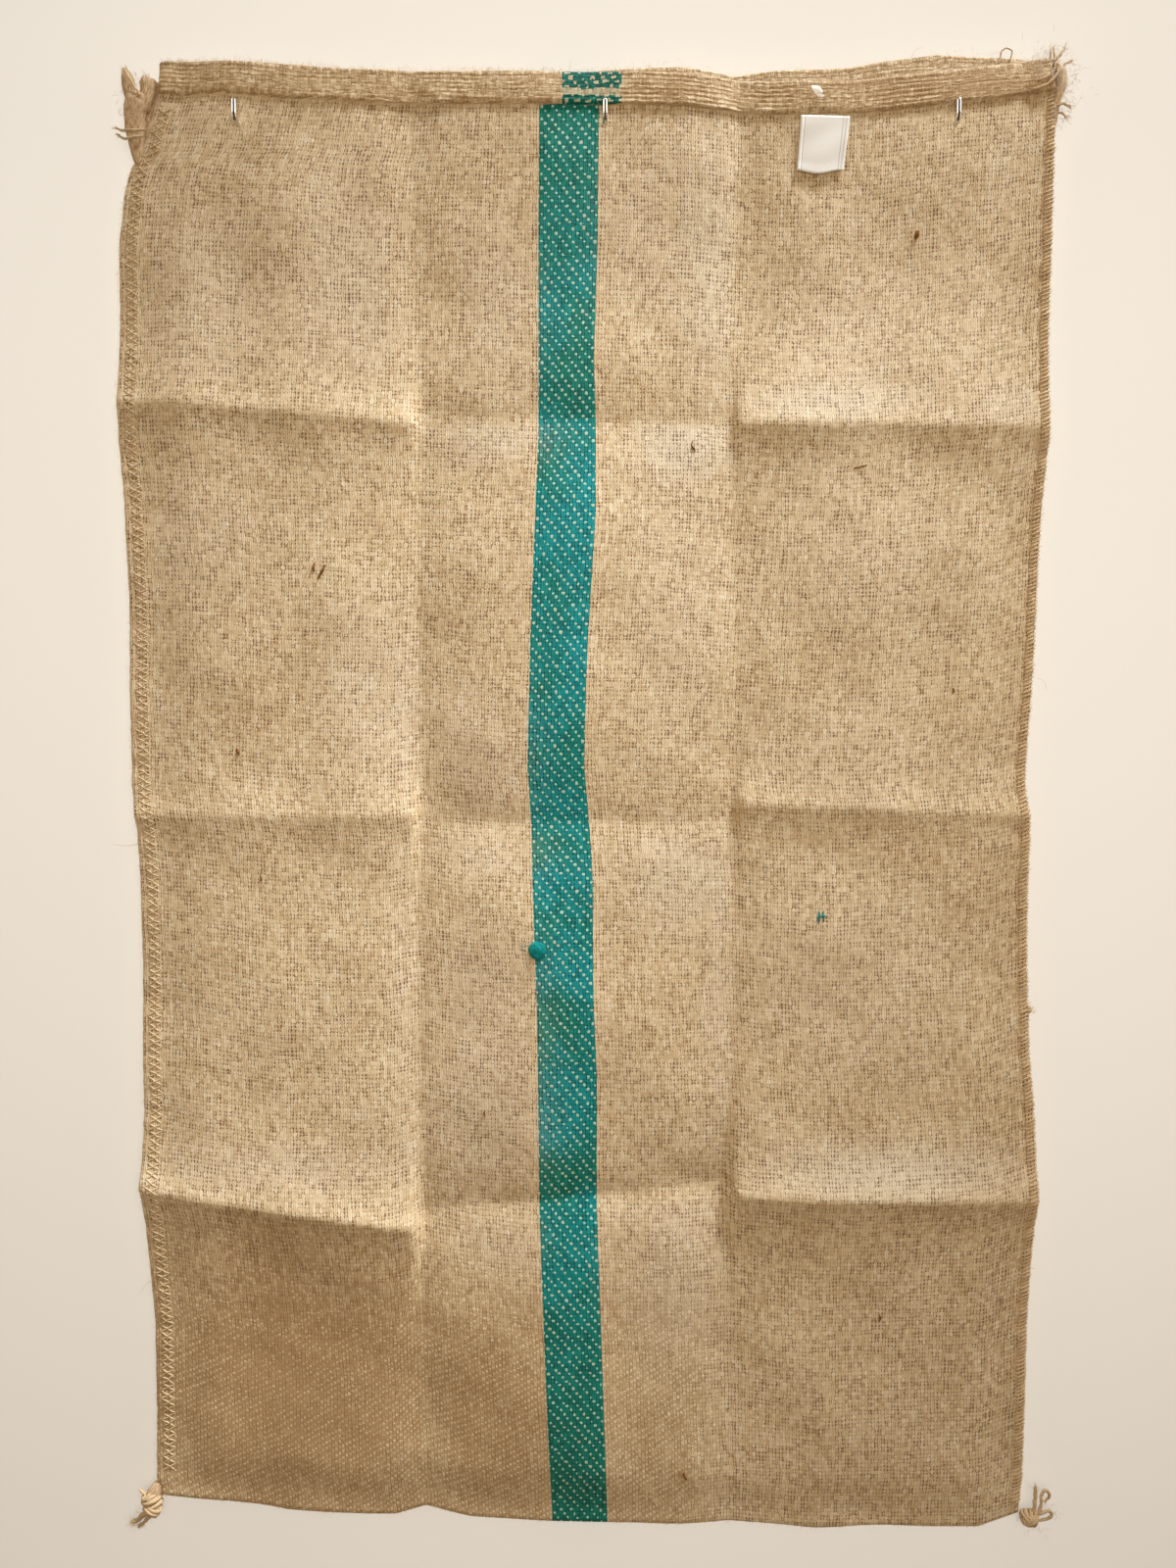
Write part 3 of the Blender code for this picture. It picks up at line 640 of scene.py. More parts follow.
def colour_steps(reverse):
    """From the shades of natural, green and blue yarn to the colour and the bump."""
    least_green, green_range = (0.12, 0.2) if reverse else (0.45, 0.5)
    return [
        # In the stripe teal hairs lie over the natural weft, which looks a pale green.
        ("dot_in_stripe", "SUBTRACT", "in_stripe", "dyed"),
        ("green_share", "MULTIPLY_ADD", "c2", green_range, least_green),
        ("greened", "MULTIPLY", "dot_in_stripe", "green_share"),
        ("natural", "BLEND", "greened", "yarn_shade", STRIPE_DOT),
        # The dye is bluest in patches, away from the rim and from the bottom.
        ("spotty", "SOFT_STEP", "patch", 0.36, 0.60),
        ("below", "SOFT_STEP", "flat_v", 20.0, 230.0),
        ("above", "SOFT_STEP", "flat_v", 1080.0, 800.0),
        ("between", "MULTIPLY", "below", "above"),
        ("bluer", "MULTIPLY", "between", "spotty"),
        ("dye", "BLEND", "bluer", "green_shade", "blue_shade"),
        ("clean", "BLEND", "dyed", "natural", "dye"),
        # Painted light: where the cloth faces the window a pale tint is mixed in, most on the
        # grain's high spots.
        ("broken", "MULTIPLY_ADD", "grain", 0.8, 0.25),
        ("worn_top", "MULTIPLY", "worn", "broken"),
        ("worn_share", "MULTIPLY", "worn_top", 0.75),
        ("used", "BLEND", "worn_share", "clean", PAINTED_LIGHT_TINT),
        # Down between the yarns, in the holes and slots, the colour is darkened with painted shade.
        ("deepness", "MULTIPLY", "deep", 0.45 if reverse else 0.8),
        ("shade", "BLEND", "dyed" if reverse else "in_stripe", HOLE_SHADE, STRIPE_HOLE_SHADE),
        ("colour", "BLEND", "deepness", "used", "shade"),
        ("low", "MULTIPLY_ADD", "deep", -0.9, "top"),
        ("surface", "MULTIPLY_ADD", "streak", 0.35, "low"),
        ("bump", "BUMP", "surface", 0.45, 0.5 * MM),
    ]


def jute_twill(name, reverse):
    """Hard-spun jute in a double-warp twill: dull, hairy, each yarn a little thicker or paler."""
    made = new_material(
        name,
        Roughness=0.78,
        Specular_IOR_Level=0.35,
        Sheen_Weight=0.15,
        Sheen_Roughness=0.45,
        Sheen_Tint="FFF6E6",
    )
    tree = made.node_tree
    known = {}
    for steps in (wander_steps, weave_steps, hole_steps, tone_steps):
        work_out(tree, known, steps(reverse))
    work_out(tree, known, DYED_REVERSE if reverse else DYED_FACE)
    for shade, colours in (
        ("yarn_shade", YARN),
        ("green_shade", TEAL_GREEN),
        ("blue_shade", TEAL_BLUE),
    ):
        known[shade] = add(tree, "ShaderNodeValToRGB", {0: known["tone"]})
        stops = known[shade].node.color_ramp.elements
        stops[0].position, stops[1].position = TONES_AT[0], TONES_AT[2]
        stops.new(TONES_AT[1])
        for stop, colour in zip(stops, colours):
            stop.color = (*linear(colour), 1)
    work_out(tree, known, colour_steps(reverse))
    ends = {"Base Color": known["colour"], "Normal": known["bump"]}
    fill(tree, tree.nodes["Principled BSDF"], ends)
    return made


def jute_twine(name, light, dark):
    """Two-ply jute twine: dull fibres that wind round, with painted shade between the plies."""
    steps = [
        ("place", "CLOTH_MAP"),
        (("round", "far"), "SPLIT", "place"),
        ("fibre", "NOISE", "place", 1.4, 4.0, 0.7),
        ("wound", "MULTIPLY_ADD", "far", 0.30, "round"),
        ("plies", "MULTIPLY", "wound", 2.0),
        ("ply", "FRACT", "plies"),
        ("rest", "SUBTRACT", 1.0, "ply"),
        ("arch", "MULTIPLY", "ply", "rest"),
        ("arch4", "MULTIPLY", "arch", 4.0),
        ("height", "POWER", "arch4", 0.5),
        ("fibre_tone", "MULTIPLY_ADD", "fibre", 0.9, -0.45),
        # Painted shade: the twine is darker where a ply is lowest, in the line between the plies.
        ("tone", "MULTIPLY_ADD", "height", 0.42, "fibre_tone"),
        ("share", "ADD", "tone", 0.24),
        ("colour", "BLEND", "share", dark, light),
        ("bump", "BUMP", "share", 0.6, 0.3 * MM),
    ]
    return new_material(
        name, steps, Roughness=0.9, Specular_IOR_Level=0.25, Base_Color="colour", Normal="bump"
    )


def combed_jute(name, light, dark):
    """Jute fibres lying side by side, with no twist: dull, and streaked along their length."""
    steps = [
        ("place", "CLOTH_MAP"),
        ("drawn", "VECTOR_MULTIPLY", "place", (1.5, 0.22, 1)),
        ("streak", "NOISE", "drawn", 1.0, 4.0, 0.65),
        ("share", "SOFT_STEP", "streak", 0.30, 0.68),
        ("colour", "BLEND", "share", dark, light),
        ("bump", "BUMP", "streak", 0.9, 0.6 * MM),
    ]
    return new_material(
        name, steps, Roughness=0.85, Specular_IOR_Level=0.3, Base_Color="colour", Normal="bump"
    )


def loose_fibre(name, light, dark):
    """Single jute fibres: fine, pale and slightly glossy, in tones that change every 11 mm."""
    steps = [
        ("place", "OBJECT_MAP"),
        ("tone", "NOISE", "place", 90.0, 2.0),
        ("colour", "BLEND", "tone", dark, light),
    ]
    return new_material(name, steps, Roughness=0.6, Specular_IOR_Level=0.4, Base_Color="colour")


def label_tape(name):
    """Bonded white tape: faintly fibrous, soft sheen, a thin printed rule near both long edges."""
    steps = [
        ("place", "CLOTH_MAP"),
        ("across", "SPLIT", "place"),
        ("fibre", "NOISE", "place", 1.1, 4.0),
        ("wander", "MULTIPLY_ADD", "fibre", RULE_WANDER, "across"),
    ]
    for number, rule in enumerate(LABEL_RULES):
        steps += [
            (f"off_{number}", "SUBTRACT", "wander", rule + RULE_WANDER / 2),
            (f"far_{number}", "ABSOLUTE", f"off_{number}"),
            (f"rule_{number}", "LESS_THAN", f"far_{number}", RULE_WIDTH / 2),
        ]
    steps += [
        ("rules", "MAXIMUM", "rule_0", "rule_1"),
        ("paper", "BLEND", "fibre", "DAD9D3", "FBFAF5"),
        ("ink", "MULTIPLY", "rules", 0.62),
        ("colour", "BLEND", "ink", "paper", "5A6066"),
        ("bump", "BUMP", "fibre", 0.25, 0.1 * MM),
    ]
    return new_material(
        name, steps, Roughness=0.62, Specular_IOR_Level=0.35, Base_Color="colour", Normal="bump"
    )


def polished_nickel(name):
    """Bright nickel plate on drawn wire: mirror-like, with faint handling marks."""
    steps = [
        ("place", "OBJECT_MAP"),
        ("marks", "NOISE", "place", 420.0, 3.0),
        ("rough", "MULTIPLY_ADD", "marks", 0.16, 0.03),
    ]
    return new_material(name, steps, Metallic=1.0, Base_Color="D8D3CC", Roughness="rough")


# ---- sack ----
def place_across(line, z, narrower=0.0):
    """Place across of grid lines, counted in panels from the left edge."""
    marks = [
        along(SIDES, 1, z) + narrower,
        along(LEFT_CREASE, 1, z),
        along(RIGHT_CREASE, 1, z),
        along(SIDES, 2, z) - narrower,
    ]
    panel = np.minimum(line.astype(int), 2) + np.zeros(np.shape(z), int)
    start, end = np.choose(panel, marks), np.choose(panel + 1, marks)
    return start + (line - panel) * (end - start)


def level_line(row, x):
    """Height at x of one of the three level creases, across all three panels."""
    parts = {entry[0]: entry for entry in LEVEL_CREASES[3 * row : 3 * row + 3]}
    height = [parts["left"][1], parts["left"][2], parts["right"][1], parts["right"][2]]
    return np.interp(x, [-360, -143, 99, 330], height)


def eased(count):
    """Shares from 0 to just under 1 that crowd towards both ends."""
    t = np.arange(count) / count
    return t - 0.5 * np.sin(2 * np.pi * t) / (2 * np.pi)


def grid_lines():
    lines = [panel + share for panel in range(3) for share in eased(PANEL_COLUMNS)] + [3.0]
    lines += [*EDGE_COLUMNS, *(3 - share for share in EDGE_COLUMNS)]
    return np.unique(np.round(lines, 6))


def row_heights(lines, rim, narrower, floor, inner):
    """Heights of the rows below the rim's round, one column for each grid line."""
    flat = np.zeros(len(lines))
    top = rim(place_across(lines, flat + RIM_HEIGHT))
    marks = [top - HEM_DEPTH - BELOW_HEM]
    for row, usual in enumerate(CREASE_ROWS):
        marks.append(level_line(row, place_across(lines, flat + usual, narrower)))
    marks.append(floor_line(place_across(lines, flat + LOWEST, narrower)) + floor)
    hem = HEM_STEPS // 4 if inner else HEM_STEPS
    rows = [
        top - RIM_ROUND + (marks[0] - top + RIM_ROUND) * share
        for share in np.linspace(0, 1, hem, endpoint=False)
    ]
    for number, (upper, lower) in enumerate(zip(marks, marks[1:])):
        count = BAND_ROWS[number] // (INNER_SHARE if inner else 1)
        shares = list(eased(count))
        if number == 3 and not inner:
            shares += LAST_ROWS
        rows += [upper + share * (lower - upper) for share in sorted(shares)]
    return np.array([*rows, marks[-1]])


def layer_points(lines, side, inner):
    """Rows of places on one face of one layer. side is 1 for the front and -1 for the back."""
    rim = front_rim if side == 1 else back_rim
    narrower, floor = (SEAM, FOLD) if inner else (0.0, 0.0)
    z = row_heights(lines, rim, narrower, floor, inner)
    x = place_across(lines, z, narrower)
    half = gap_part(x, z, side) if inner else thickness(x, z, side)
    half[:, [0, -1]] = 0.0
    half[-1] = 0.0
    return np.stack([x, middle(x, z) + side * half, z], axis=2)


def rim_points(outer, inner):
    """Rows of places round the rim, from the inside over the crest to the outside."""
    rows = []
    for turn in np.radians(RIM_TURNS):
        share = (np.sin(turn) + 1) / 2
        row = inner[0] + (outer[0] - inner[0]) * share
        row[:, 2] += RIM_ROUND * np.cos(turn)
        rows.append(row)
    return np.array(rows)


def cloth_uv(points, side):
    """Place on the flat cloth: across from the left side, and down from the rim."""
    x, z = points[..., 0], points[..., 2]
    rim = front_rim if side == 1 else back_rim
    down = rim(x) - z
    left, right = along(SIDES, 1, z), along(SIDES, 2, z)
    shift = HEM_SHIFT * (1 - smooth((down - HEM_DEPTH + 0.5) / 0.8)) * (side == 1)
    from_left, from_right = along(STRIPE, 1, z) + shift, along(STRIPE, 2, z) + shift
    u = np.where(
        x < from_left,
        (x - left) / (from_left - left) * STRIPE_FROM,
        np.where(
            x < from_right,
            STRIPE_FROM + (x - from_left) / (from_right - from_left) * (STRIPE_TO - STRIPE_FROM),
            STRIPE_TO + (x - from_right) / (right - from_right) * (WIDE - STRIPE_TO),
        ),
    )
    v = down * LONG / (rim(x) - floor_line(x))
    return np.stack([u, v], axis=-1)


def sack(finishes):
    """Both layers as one closed sheet: outside, rim of the mouth and inside."""
    lines = grid_lines()
    points, uv, faces, slots, lookup = [], [], [], [], {}

    def index(point, place):
        key = tuple(np.round(point, 3))
        if key not in lookup:
            lookup[key] = len(points)
            points.append(point)
            uv.append(place)
        return lookup[key]

    for side in (1, -1):
        outer, inner = layer_points(lines, side, False), layer_points(lines, side, True)
        rim = rim_points(outer, inner)
        rows = np.concatenate([inner[::-1], rim, outer])
        places = cloth_uv(rows, side)
        hem_end = len(inner) + len(rim) + HEM_STEPS - 3
        grid = [
            [index(point, place) for point, place in zip(row, marks)]
            for row, marks in zip(rows, places)
        ]
        for number, (upper, lower) in enumerate(zip(grid, grid[1:])):
            for a, b, c, d in zip(upper, upper[1:], lower[1:], lower):
                corners = [a, d, c, b] if side == 1 else [a, b, c, d]
                ring = [v for n, v in enumerate(corners) if v != corners[n - 1]]
                if len(ring) > 2:
                    faces.append(ring)
                    slots.append(0 if number >= hem_end else 1)
    piece = put_in_scene("sack", points, faces, finishes, uv=uv, slots=slots)
    places = np.array(points)
    # Painted light and painted shade, kept on the points for the cloth's material.
    pale = piece.data.attributes.new("rubbed", "FLOAT", "POINT")
    pale.data.foreach_set("value", rubbed(places[:, 0], places[:, 2]))
    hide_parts("sack_cloth")
    return piece


# ---- threads, fibres and twine ----
HAND = np.random.default_rng(23)  # every strand draws from this one, in the order below


def skin(rows, around, unit, length):
    """Faces and corner uvs of a round skin with closed ends.

    unit is the uv width of a face, and length has the place of each row along the skin.
    """
    n, k = np.meshgrid(np.arange(rows - 1), np.arange(around), indexing="ij")
    n, k = n.ravel(), k.ravel()
    here, after = n * around, (k + 1) % around
    ring = [here + k, here + after, here + around + after, here + around + k]
    share = np.stack([k, k + 1, k + 1, k], axis=1) * unit
    far = np.stack([length[n], length[n], length[n + 1], length[n + 1]], axis=1)
    uv = np.stack([share, far], axis=-1).reshape(-1, 2)
    last = (rows - 1) * around
    ends = [list(range(around))[::-1], list(range(last, last + around))]
    cap = np.stack([np.arange(around) * unit, np.zeros(around)], axis=1)
    faces = np.stack(ring, axis=1).tolist() + ends
    return faces, np.concatenate([uv, cap[::-1], cap + (0, length[-1])])


def tube(path, radius, sides=6):
    """A round strand along a path, closed at its ends: points, faces and a uv for each corner."""
    path = np.asarray(path, float)
    heading = np.gradient(path, axis=0)
    heading /= np.linalg.norm(heading, axis=1)[:, None] + 1e-9
    side = np.cross(heading[0], (0.31, 0.83, 0.47))  # along no likely heading
    across = np.empty_like(path)
    for n, step in enumerate(heading):
        side = side - step * (side @ step)
        side = side / np.linalg.norm(side)
        across[n] = side
    up = np.cross(heading, across)
    turn = 2 * np.pi * np.arange(sides) / sides
    ring = across[:, None] * np.cos(turn)[:, None] + up[:, None] * np.sin(turn)[:, None]
    points = path[:, None] + ring * (np.zeros(len(path)) + radius)[:, None, None]
    length = np.append(0, np.cumsum(np.linalg.norm(np.diff(path, axis=0), axis=1)))
    return points.reshape(-1, 3), *skin(len(path), sides, 1 / sides, length)


def bundle(name, parts, finishes, slots=None, stands_for=None):
    """One piece from many closed parts, each with points, faces and corner uvs."""
    points, faces, uv, which = [], [], [], []
    start = 0
    for number, (own_points, own_faces, own_uv) in enumerate(parts):
        points.append(own_points)
        faces += [[v + start for v in face] for face in own_faces]
        uv.append(own_uv)
        which += [0 if slots is None else slots[number]] * len(own_faces)
        start += len(own_points)
    piece = put_in_scene(
        name,
        np.concatenate(points),
        faces,
        finishes,
        slots=which,
        place_uv=np.concatenate(uv),
    )
    shell = bmesh.new()
    shell.from_mesh(piece.data)
    bmesh.ops.recalc_face_normals(shell, faces=shell.faces)
    shell.to_mesh(piece.data)
    shell.free()
    if stands_for:
        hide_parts(stands_for)
    return piece


def curve_through(stations, steps=6):
    """Points on a smooth curve through stations, whose last column is the radius."""
    stations = np.asarray(stations, float)
    before = np.vstack([2 * stations[0] - stations[1], stations, 2 * stations[-1] - stations[-2]])
    points = []
    for a, b, c, d in zip(before, before[1:], before[2:], before[3:]):
        t = np.linspace(0, 1, steps, endpoint=False)[:, None]
        points.append(
            0.5 * (2 * b + (c - a) * t + (2 * a - 5 * b + 4 * c - d) * t**2
                   + (3 * b - a - 3 * c + d) * t**3)
        )
    return np.vstack([*points, stations[-1]])


def twine_strand(stations, steps=6, sides=8, wander=0.25):
    """A piece of twine through stations of place and radius, a little uneven along its length."""
    path = curve_through(stations, steps)
    rough = HAND.normal(0, wander, (len(path), 3))
    rough[[0, -1]] = 0
    rough[1:-1] = (rough[:-2] + 2 * rough[1:-1] + rough[2:]) / 4
    swell = 1 + 0.10 * HAND.normal(size=len(path))
    return tube(path[:, :3] + rough, path[:, 3] * swell, sides)


def fibre(start, heading, length, curl=0.35, thick=0.13, steps=4):
    """One fine fibre, which curls and tapers."""
    heading = np.asarray(heading, float) / np.linalg.norm(heading)
    path = [np.asarray(start, float)]
    bend = HAND.normal(0, curl, 3)
    for _ in range(steps):
        heading = heading + bend + HAND.normal(0, curl * 0.6, 3)
        heading /= np.linalg.norm(heading)
        path.append(path[-1] + heading * length / steps)
    return tube(path, np.linspace(thick, thick * 0.4, steps + 1), 3)


def brush(start, heading, count, length, spread, width=1.0, thick=0.15):
    """Fibres that stand out of a frayed end."""
    out = []
    for _ in range(count):
        at = np.asarray(start, float) + HAND.normal(0, width * 0.5, 3) * (1, 0.35, 1)
        aim = np.asarray(heading, float) / np.linalg.norm(heading) + HAND.normal(0, spread, 3)
        out.append(fibre(at, aim, length * HAND.uniform(0.45, 1.15), 0.22, thick))
    return out


def lobe(rows, depth_share, folds, turn_from=0.0, around=28, steps=5):
    """A gathered end of cloth through rows of (x, depth, z, half width).

    folds has how many lengthwise folds, their height and where they start.
    """
    rows = curve_through(rows, steps)
    turn = 2 * np.pi * np.arange(around) / around
    ripple = sum(high * np.cos(count * turn + start + turn_from) for count, high, start in folds)
    points = []
    for n, (x, depth, z, half) in enumerate(rows):
        wave = 1 + ripple * (0.75 + 0.25 * np.sin(n * 0.9))
        points.append(
            np.stack(
                [
                    x + half * wave * np.cos(turn),
                    depth + half * depth_share * wave * np.sin(turn),
                    z + 0.5 * np.sin(3 * turn + n * 0.4) * min(1.0, half / 4),
                ],
                axis=1,
            )
        )
    points = np.concatenate(points)
    unit = np.mean(rows[:, 3] * 4.5 / around)
    return points, *skin(len(rows), around, unit, rows[:, 2] - rows[0, 2])


# ---- sewing along the side edges ----
# Each turn of the thread: how far in from the edge, and 1 in front, 0 at the edge, -1 behind.
WHIP_TURN = (
    (12.6, 1), (11.4, 1), (8.4, 1), (5.2, 1), (2.4, 1), (0.2, 0.7), (-0.9, 0), (0.2, -0.7),
    (2.4, -1), (6.0, -1), (10.0, -1), (12.4, -1),
)


def whipping(column, start, stop, pitch, slant, thick, wide):
    """Twine that winds over a side edge from top to bottom, one turn for each pitch."""
    count = int((start - stop) / pitch)
    stations = len(WHIP_TURN)
    inward = np.array([entry[0] for entry in WHIP_TURN]) * wide
    face = np.array([entry[1] for entry in WHIP_TURN], float)
    share = np.arange(stations) / stations
    front = np.clip(np.arange(stations) / 6, 0, 1)
    rows = start - pitch * np.arange(count)[:, None]
    z = rows + slant * front - (pitch + slant) * np.clip((np.arange(stations) - 6) / 6, 0, 1)
    uneven = HAND.normal(0, 0.09 * pitch, count)
    z = z + uneven[:, None] * np.sin(np.pi * share)
    reach = 1 + HAND.normal(0, 0.06, count)[:, None]
    edge = along(SIDES, column, z)
    inside = 1 if column == 1 else -1
    x = edge + inside * inward * reach
    on_cloth = edge + inside * np.maximum(inward * reach, 0.4)
    over = 0.75 * thick
    dip = np.where(np.abs(inward - inward[0]) < 1e-6, -0.7, 0.0)  # the needle goes in there
    front_face = middle(on_cloth, z) + thickness(on_cloth, z, 1) + over + dip
    back_face = middle(on_cloth, z) - thickness(on_cloth, z, -1) - over - dip
    depth = back_face + (front_face - back_face) * (face + 1) / 2
    path = np.stack([x, depth, z], axis=2).reshape(-1, 3)
    return tube(path, thick * (1 + 0.12 * np.sin(np.arange(len(path)) * 0.37)))


def zigzag(column, start, stop, pitch, outer, inner, thick, side, turn):
    """Twine that runs down one face of a side seam in zigzags and dips in at every corner."""
    step = np.arange(int((start - stop) / pitch) * 8 + 1) / 4
    swing = np.abs((step + turn) % 2 - 1)
    z = start - step * pitch / 2 + HAND.normal(0, 0.30, len(step))
    inward = outer + (inner - outer) * swing + HAND.normal(0, 0.35, len(step))
    x = along(SIDES, column, z) + (inward if column == 1 else -inward)
    over = np.where(step % 1 == 0, -0.6, 0.45) * thick
    depth = middle(x, z) + side * (thickness(x, z, side) + over)
    return tube(curve_through(np.column_stack([x, depth, z]), 3), thick)


# Column of SIDES, top and bottom, and pitch of each side's stitches.
LEFT_STITCHES = (1, 14, -1044, 11.9)
RIGHT_STITCHES = (2, 24, -1066, 3.0)


def side_sewing(left_twine, right_twine):
    """Two crossed zigzags on each face of the left side, and slanting stitches over the right."""
    left = [
        zigzag(*LEFT_STITCHES, 5.0, 14.5, 0.52, side, turn) for side in (1, -1) for turn in (0, 1)
    ]
    right = [whipping(*RIGHT_STITCHES, 4.4, 0.66, 0.56)]
    bundle("side_sewing_left", left, [left_twine])
    bundle("side_sewing_right", right, [right_twine])


# ---- corners ----
EAR_BODY = (
    (-351.2, 19, -26, 2.2), (-351.6, 19, -16, 5.2), (-352.4, 19, -8, 6.4), (-353.4, 19.5, 0, 7.2),
    (-353.2, 20, 8, 7.8), (-352.2, 20.5, 16, 9.0), (-351.0, 20.5, 23, 8.2), (-350.6, 20, 27, 4.0),
)
EAR_LOBES = (
    ((-354.5, 19.5, 14, 4.0), (-354.8, 19.5, 22, 5.2), (-357.2, 19.5, 31, 5.2),
     (-358.4, 19.5, 39, 4.4), (-360.0, 19.5, 44.5, 1.6)),
    ((-346.6, 20, 12, 3.8), (-344.4, 20, 20, 5.4), (-342.6, 19.5, 28, 5.8),
     (-343.4, 19, 35, 5.6), (-344.6, 19, 39, 2.4)),
)
EAR_WEB = (
    (-346.5, 16.6, -22, 4.0), (-345.5, 16.6, -10, 7.0), (-343.5, 16.6, 4, 8.6),
    (-342.2, 16.8, 18, 9.0), (-341.2, 17.2, 27, 8.2), (-340.6, 17.6, 33, 6.6),
    (-341.0, 17.8, 37.8, 2.6),
)
EAR_TWINES = (
    ((-344.0, 24.0, -2.6, 0.8), (-352, 25.4, -3.8, 0.95), (-358, 24.8, -3.4, 0.95),
     (-362.6, 21, -1.6, 0.9), (-366.0, 20.4, 0.2, 0.8), (-367.4, 20, 1, 0.5)),
    ((-345.5, 23.4, -6.8, 0.8), (-351, 25.4, -8.4, 0.95), (-357.5, 24.6, -9.6, 0.95),
     (-361.6, 20.5, -7.2, 0.9), (-365.4, 18, -4.0, 0.8), (-367.6, 18, -2.6, 0.5)),
    ((-346.4, 24.6, 21.5, 0.7), (-350.4, 25.4, 28.0, 0.9), (-354.8, 24.8, 35.6, 0.9),
     (-358.2, 23.0, 42, 0.6)),
)
FRAY_BODY = (
    (334.6, 20, 50, 2.2), (338.6, 20, 46, 4.2), (341.4, 20, 40, 4.6), (341.6, 20, 33, 4.6),
    (339.4, 20, 25, 4.0), (337.6, 19.5, 16, 3.4), (337.0, 19, 6, 2.6), (336.6, 19, -2, 1.4),
)
FRAY_TWINES = (
    ((335.6, 22, 44, 1.3), (337.8, 22, 50.2, 1.6), (341.2, 21, 55, 1.5), (344.6, 20, 59.0, 0.7)),
    ((332.4, 21, 47, 0.9), (332.8, 21.5, 53, 1.0), (333.1, 21, 58.6, 0.6)),
    ((334.9, 23, 47, 0.9), (335.0, 23, 53, 1.0), (334.6, 22.5, 58.8, 0.6)),
    ((340.6, 22, 42, 1.2), (344.2, 21, 46.8, 1.3), (347.6, 20, 48.8, 1.1), (350.6, 19, 50.6, 0.6)),
    ((338.6, 22, 16, 1.1), (341.6, 22, 17.5, 1.3), (345.4, 21, 17.6, 1.3), (349.6, 19, 15.6, 0.7)),
    ((338.6, 20, 12, 1.0), (342.6, 20.5, 11, 1.2), (345.6, 20.5, 7.4, 0.7)),
    ((294.6, 18, 48, 0.7), (296.3, 18.5, 53, 0.8), (297, 19, 57.1, 0.8), (300.4, 19, 59.5, 0.8),
     (304.7, 19, 58.1, 0.8), (305.1, 18.5, 55, 0.8), (303.4, 18, 50, 0.7)),
    ((318, 24.8, 26.5, 1.1), (325, 26.0, 27.6, 1.3), (331, 26.2, 30.8, 1.4),
     (336, 25.6, 36.4, 1.3), (338.4, 24.0, 42, 1.0)),
    ((322, 25.2, 33.0, 0.9), (329, 26.0, 35.0, 1.1), (334, 25.4, 40.0, 1.1),
     (335.4, 23.8, 46, 0.8)),
)
FRAY_THIN = 0.7  # of the radii above
EAR_FOLDS = ((3, 0.10, 0.4), (5, 0.07, 1.9), (9, 0.035, 0.2))  # how many, how high, and start
# Broken fibres: start, heading, how many, length, spread, width and, where given, radius.
EAR_BRUSHES = (
    ((-360.0, 20, 43.5), (-0.3, 0, 1), 22, 5, 0.5, 2.5),
    ((-344.4, 19, 38.0), (0.1, 0, 1), 20, 4.5, 0.6, 5),
    ((-366.0, 20, 0.2), (-1, 0, 0.5), 14, 4, 0.5, 1.2),
    ((-365.6, 18, -3.6), (-1, 0, 0.1), 14, 4, 0.5, 1.2),
    ((-353, 26, 10), (-0.2, 0.5, 0.4), 60, 4.5, 0.9, 12),
    ((-352, 24, 28), (0, 0.4, 0.8), 50, 4.5, 0.9, 12),
)
FRAY_BRUSHES = (
    ((343.6, 20, 58), (0.6, 0, 1), 26, 6, 0.35, 1.8),
    ((333.8, 21.5, 57), (0.0, 0, 1), 20, 4.5, 0.3, 2.0),
    ((348.6, 19.5, 49.6), (1, 0, 0.5), 22, 5, 0.35, 1.6),
    ((347.8, 20, 16.4), (1, 0, 0.1), 34, 5, 0.5, 2.6),
    ((344.8, 20.5, 9), (0.8, 0, -0.6), 22, 5, 0.5, 2.0),
    ((343.0, 20, 34), (1, 0.2, 0.2), 150, 5, 0.7, 14),
    ((340.0, 20, 14), (1, 0.2, 0.1), 120, 4.5, 0.7, 14),
    ((334, 24, 40), (0.2, 0.6, 0.5), 260, 5.5, 0.9, 17),
    ((330, 21, 49.5), (0.1, 0.1, 1), 120, 4.5, 0.6, 12),
)
# Windings: centre, direction across, axis, radii, turns, length, radius of the twine, and start.
LEFT_WINDINGS = (
    ((-357.4, 15, -1058.5), (0.92, 0, 0.39), (0.39, 0, -0.92), (6.6, 6.0), 4.0, 15, 1.75),
    ((-356.8, 15.5, -1064), (0.85, 0, -0.53), (-0.53, 0, -0.85), (6.8, 6.6), 2.6, 8, 1.5, 1.2),
    ((-358.4, 15, -1055), (0.6, 0.2, 0.8), (0.8, 0, -0.6), (5.0, 5.8), 2.2, 7, 1.3, 2.5),
)
LEFT_CORE = (
    (-352, 14, -1044, 3.2), (-355, 14.5, -1050, 5.4), (-356.8, 15, -1058, 5.8),
    (-356.4, 15, -1066, 5.2), (-355.6, 15, -1072, 2.6),
)
LEFT_TAILS = (
    ((-359.5, 16, -1067.5, 2.2), (-364.4, 15.5, -1070.4, 2.2), (-368.2, 15, -1074.2, 1.9),
     (-372.4, 14, -1077.2, 1.2), (-375.4, 13.5, -1077.8, 0.5)),
    ((-358.2, 17, -1070.5, 1.3), (-362.4, 16.5, -1074.4, 1.4), (-366.2, 15.5, -1078.6, 1.0),
     (-369.2, 15, -1080.6, 0.5)),
    ((-362.8, 16, -1053, 1.2), (-365.6, 15.5, -1051.2, 1.1), (-367.8, 14.5, -1049.8, 0.6)),
)
LEFT_BRUSHES = (
    ((-370.5, 15, -1075.5), (-1, 0, -0.45), 46, 8, 0.3, 2.6, 0.18),
    ((-366.0, 15.5, -1078), (-0.7, 0, -0.7), 30, 6, 0.35, 2.0, 0.18),
    ((-357.5, 19, -1062), (-0.6, 0.5, 0), 60, 4.5, 0.9, 11),
)
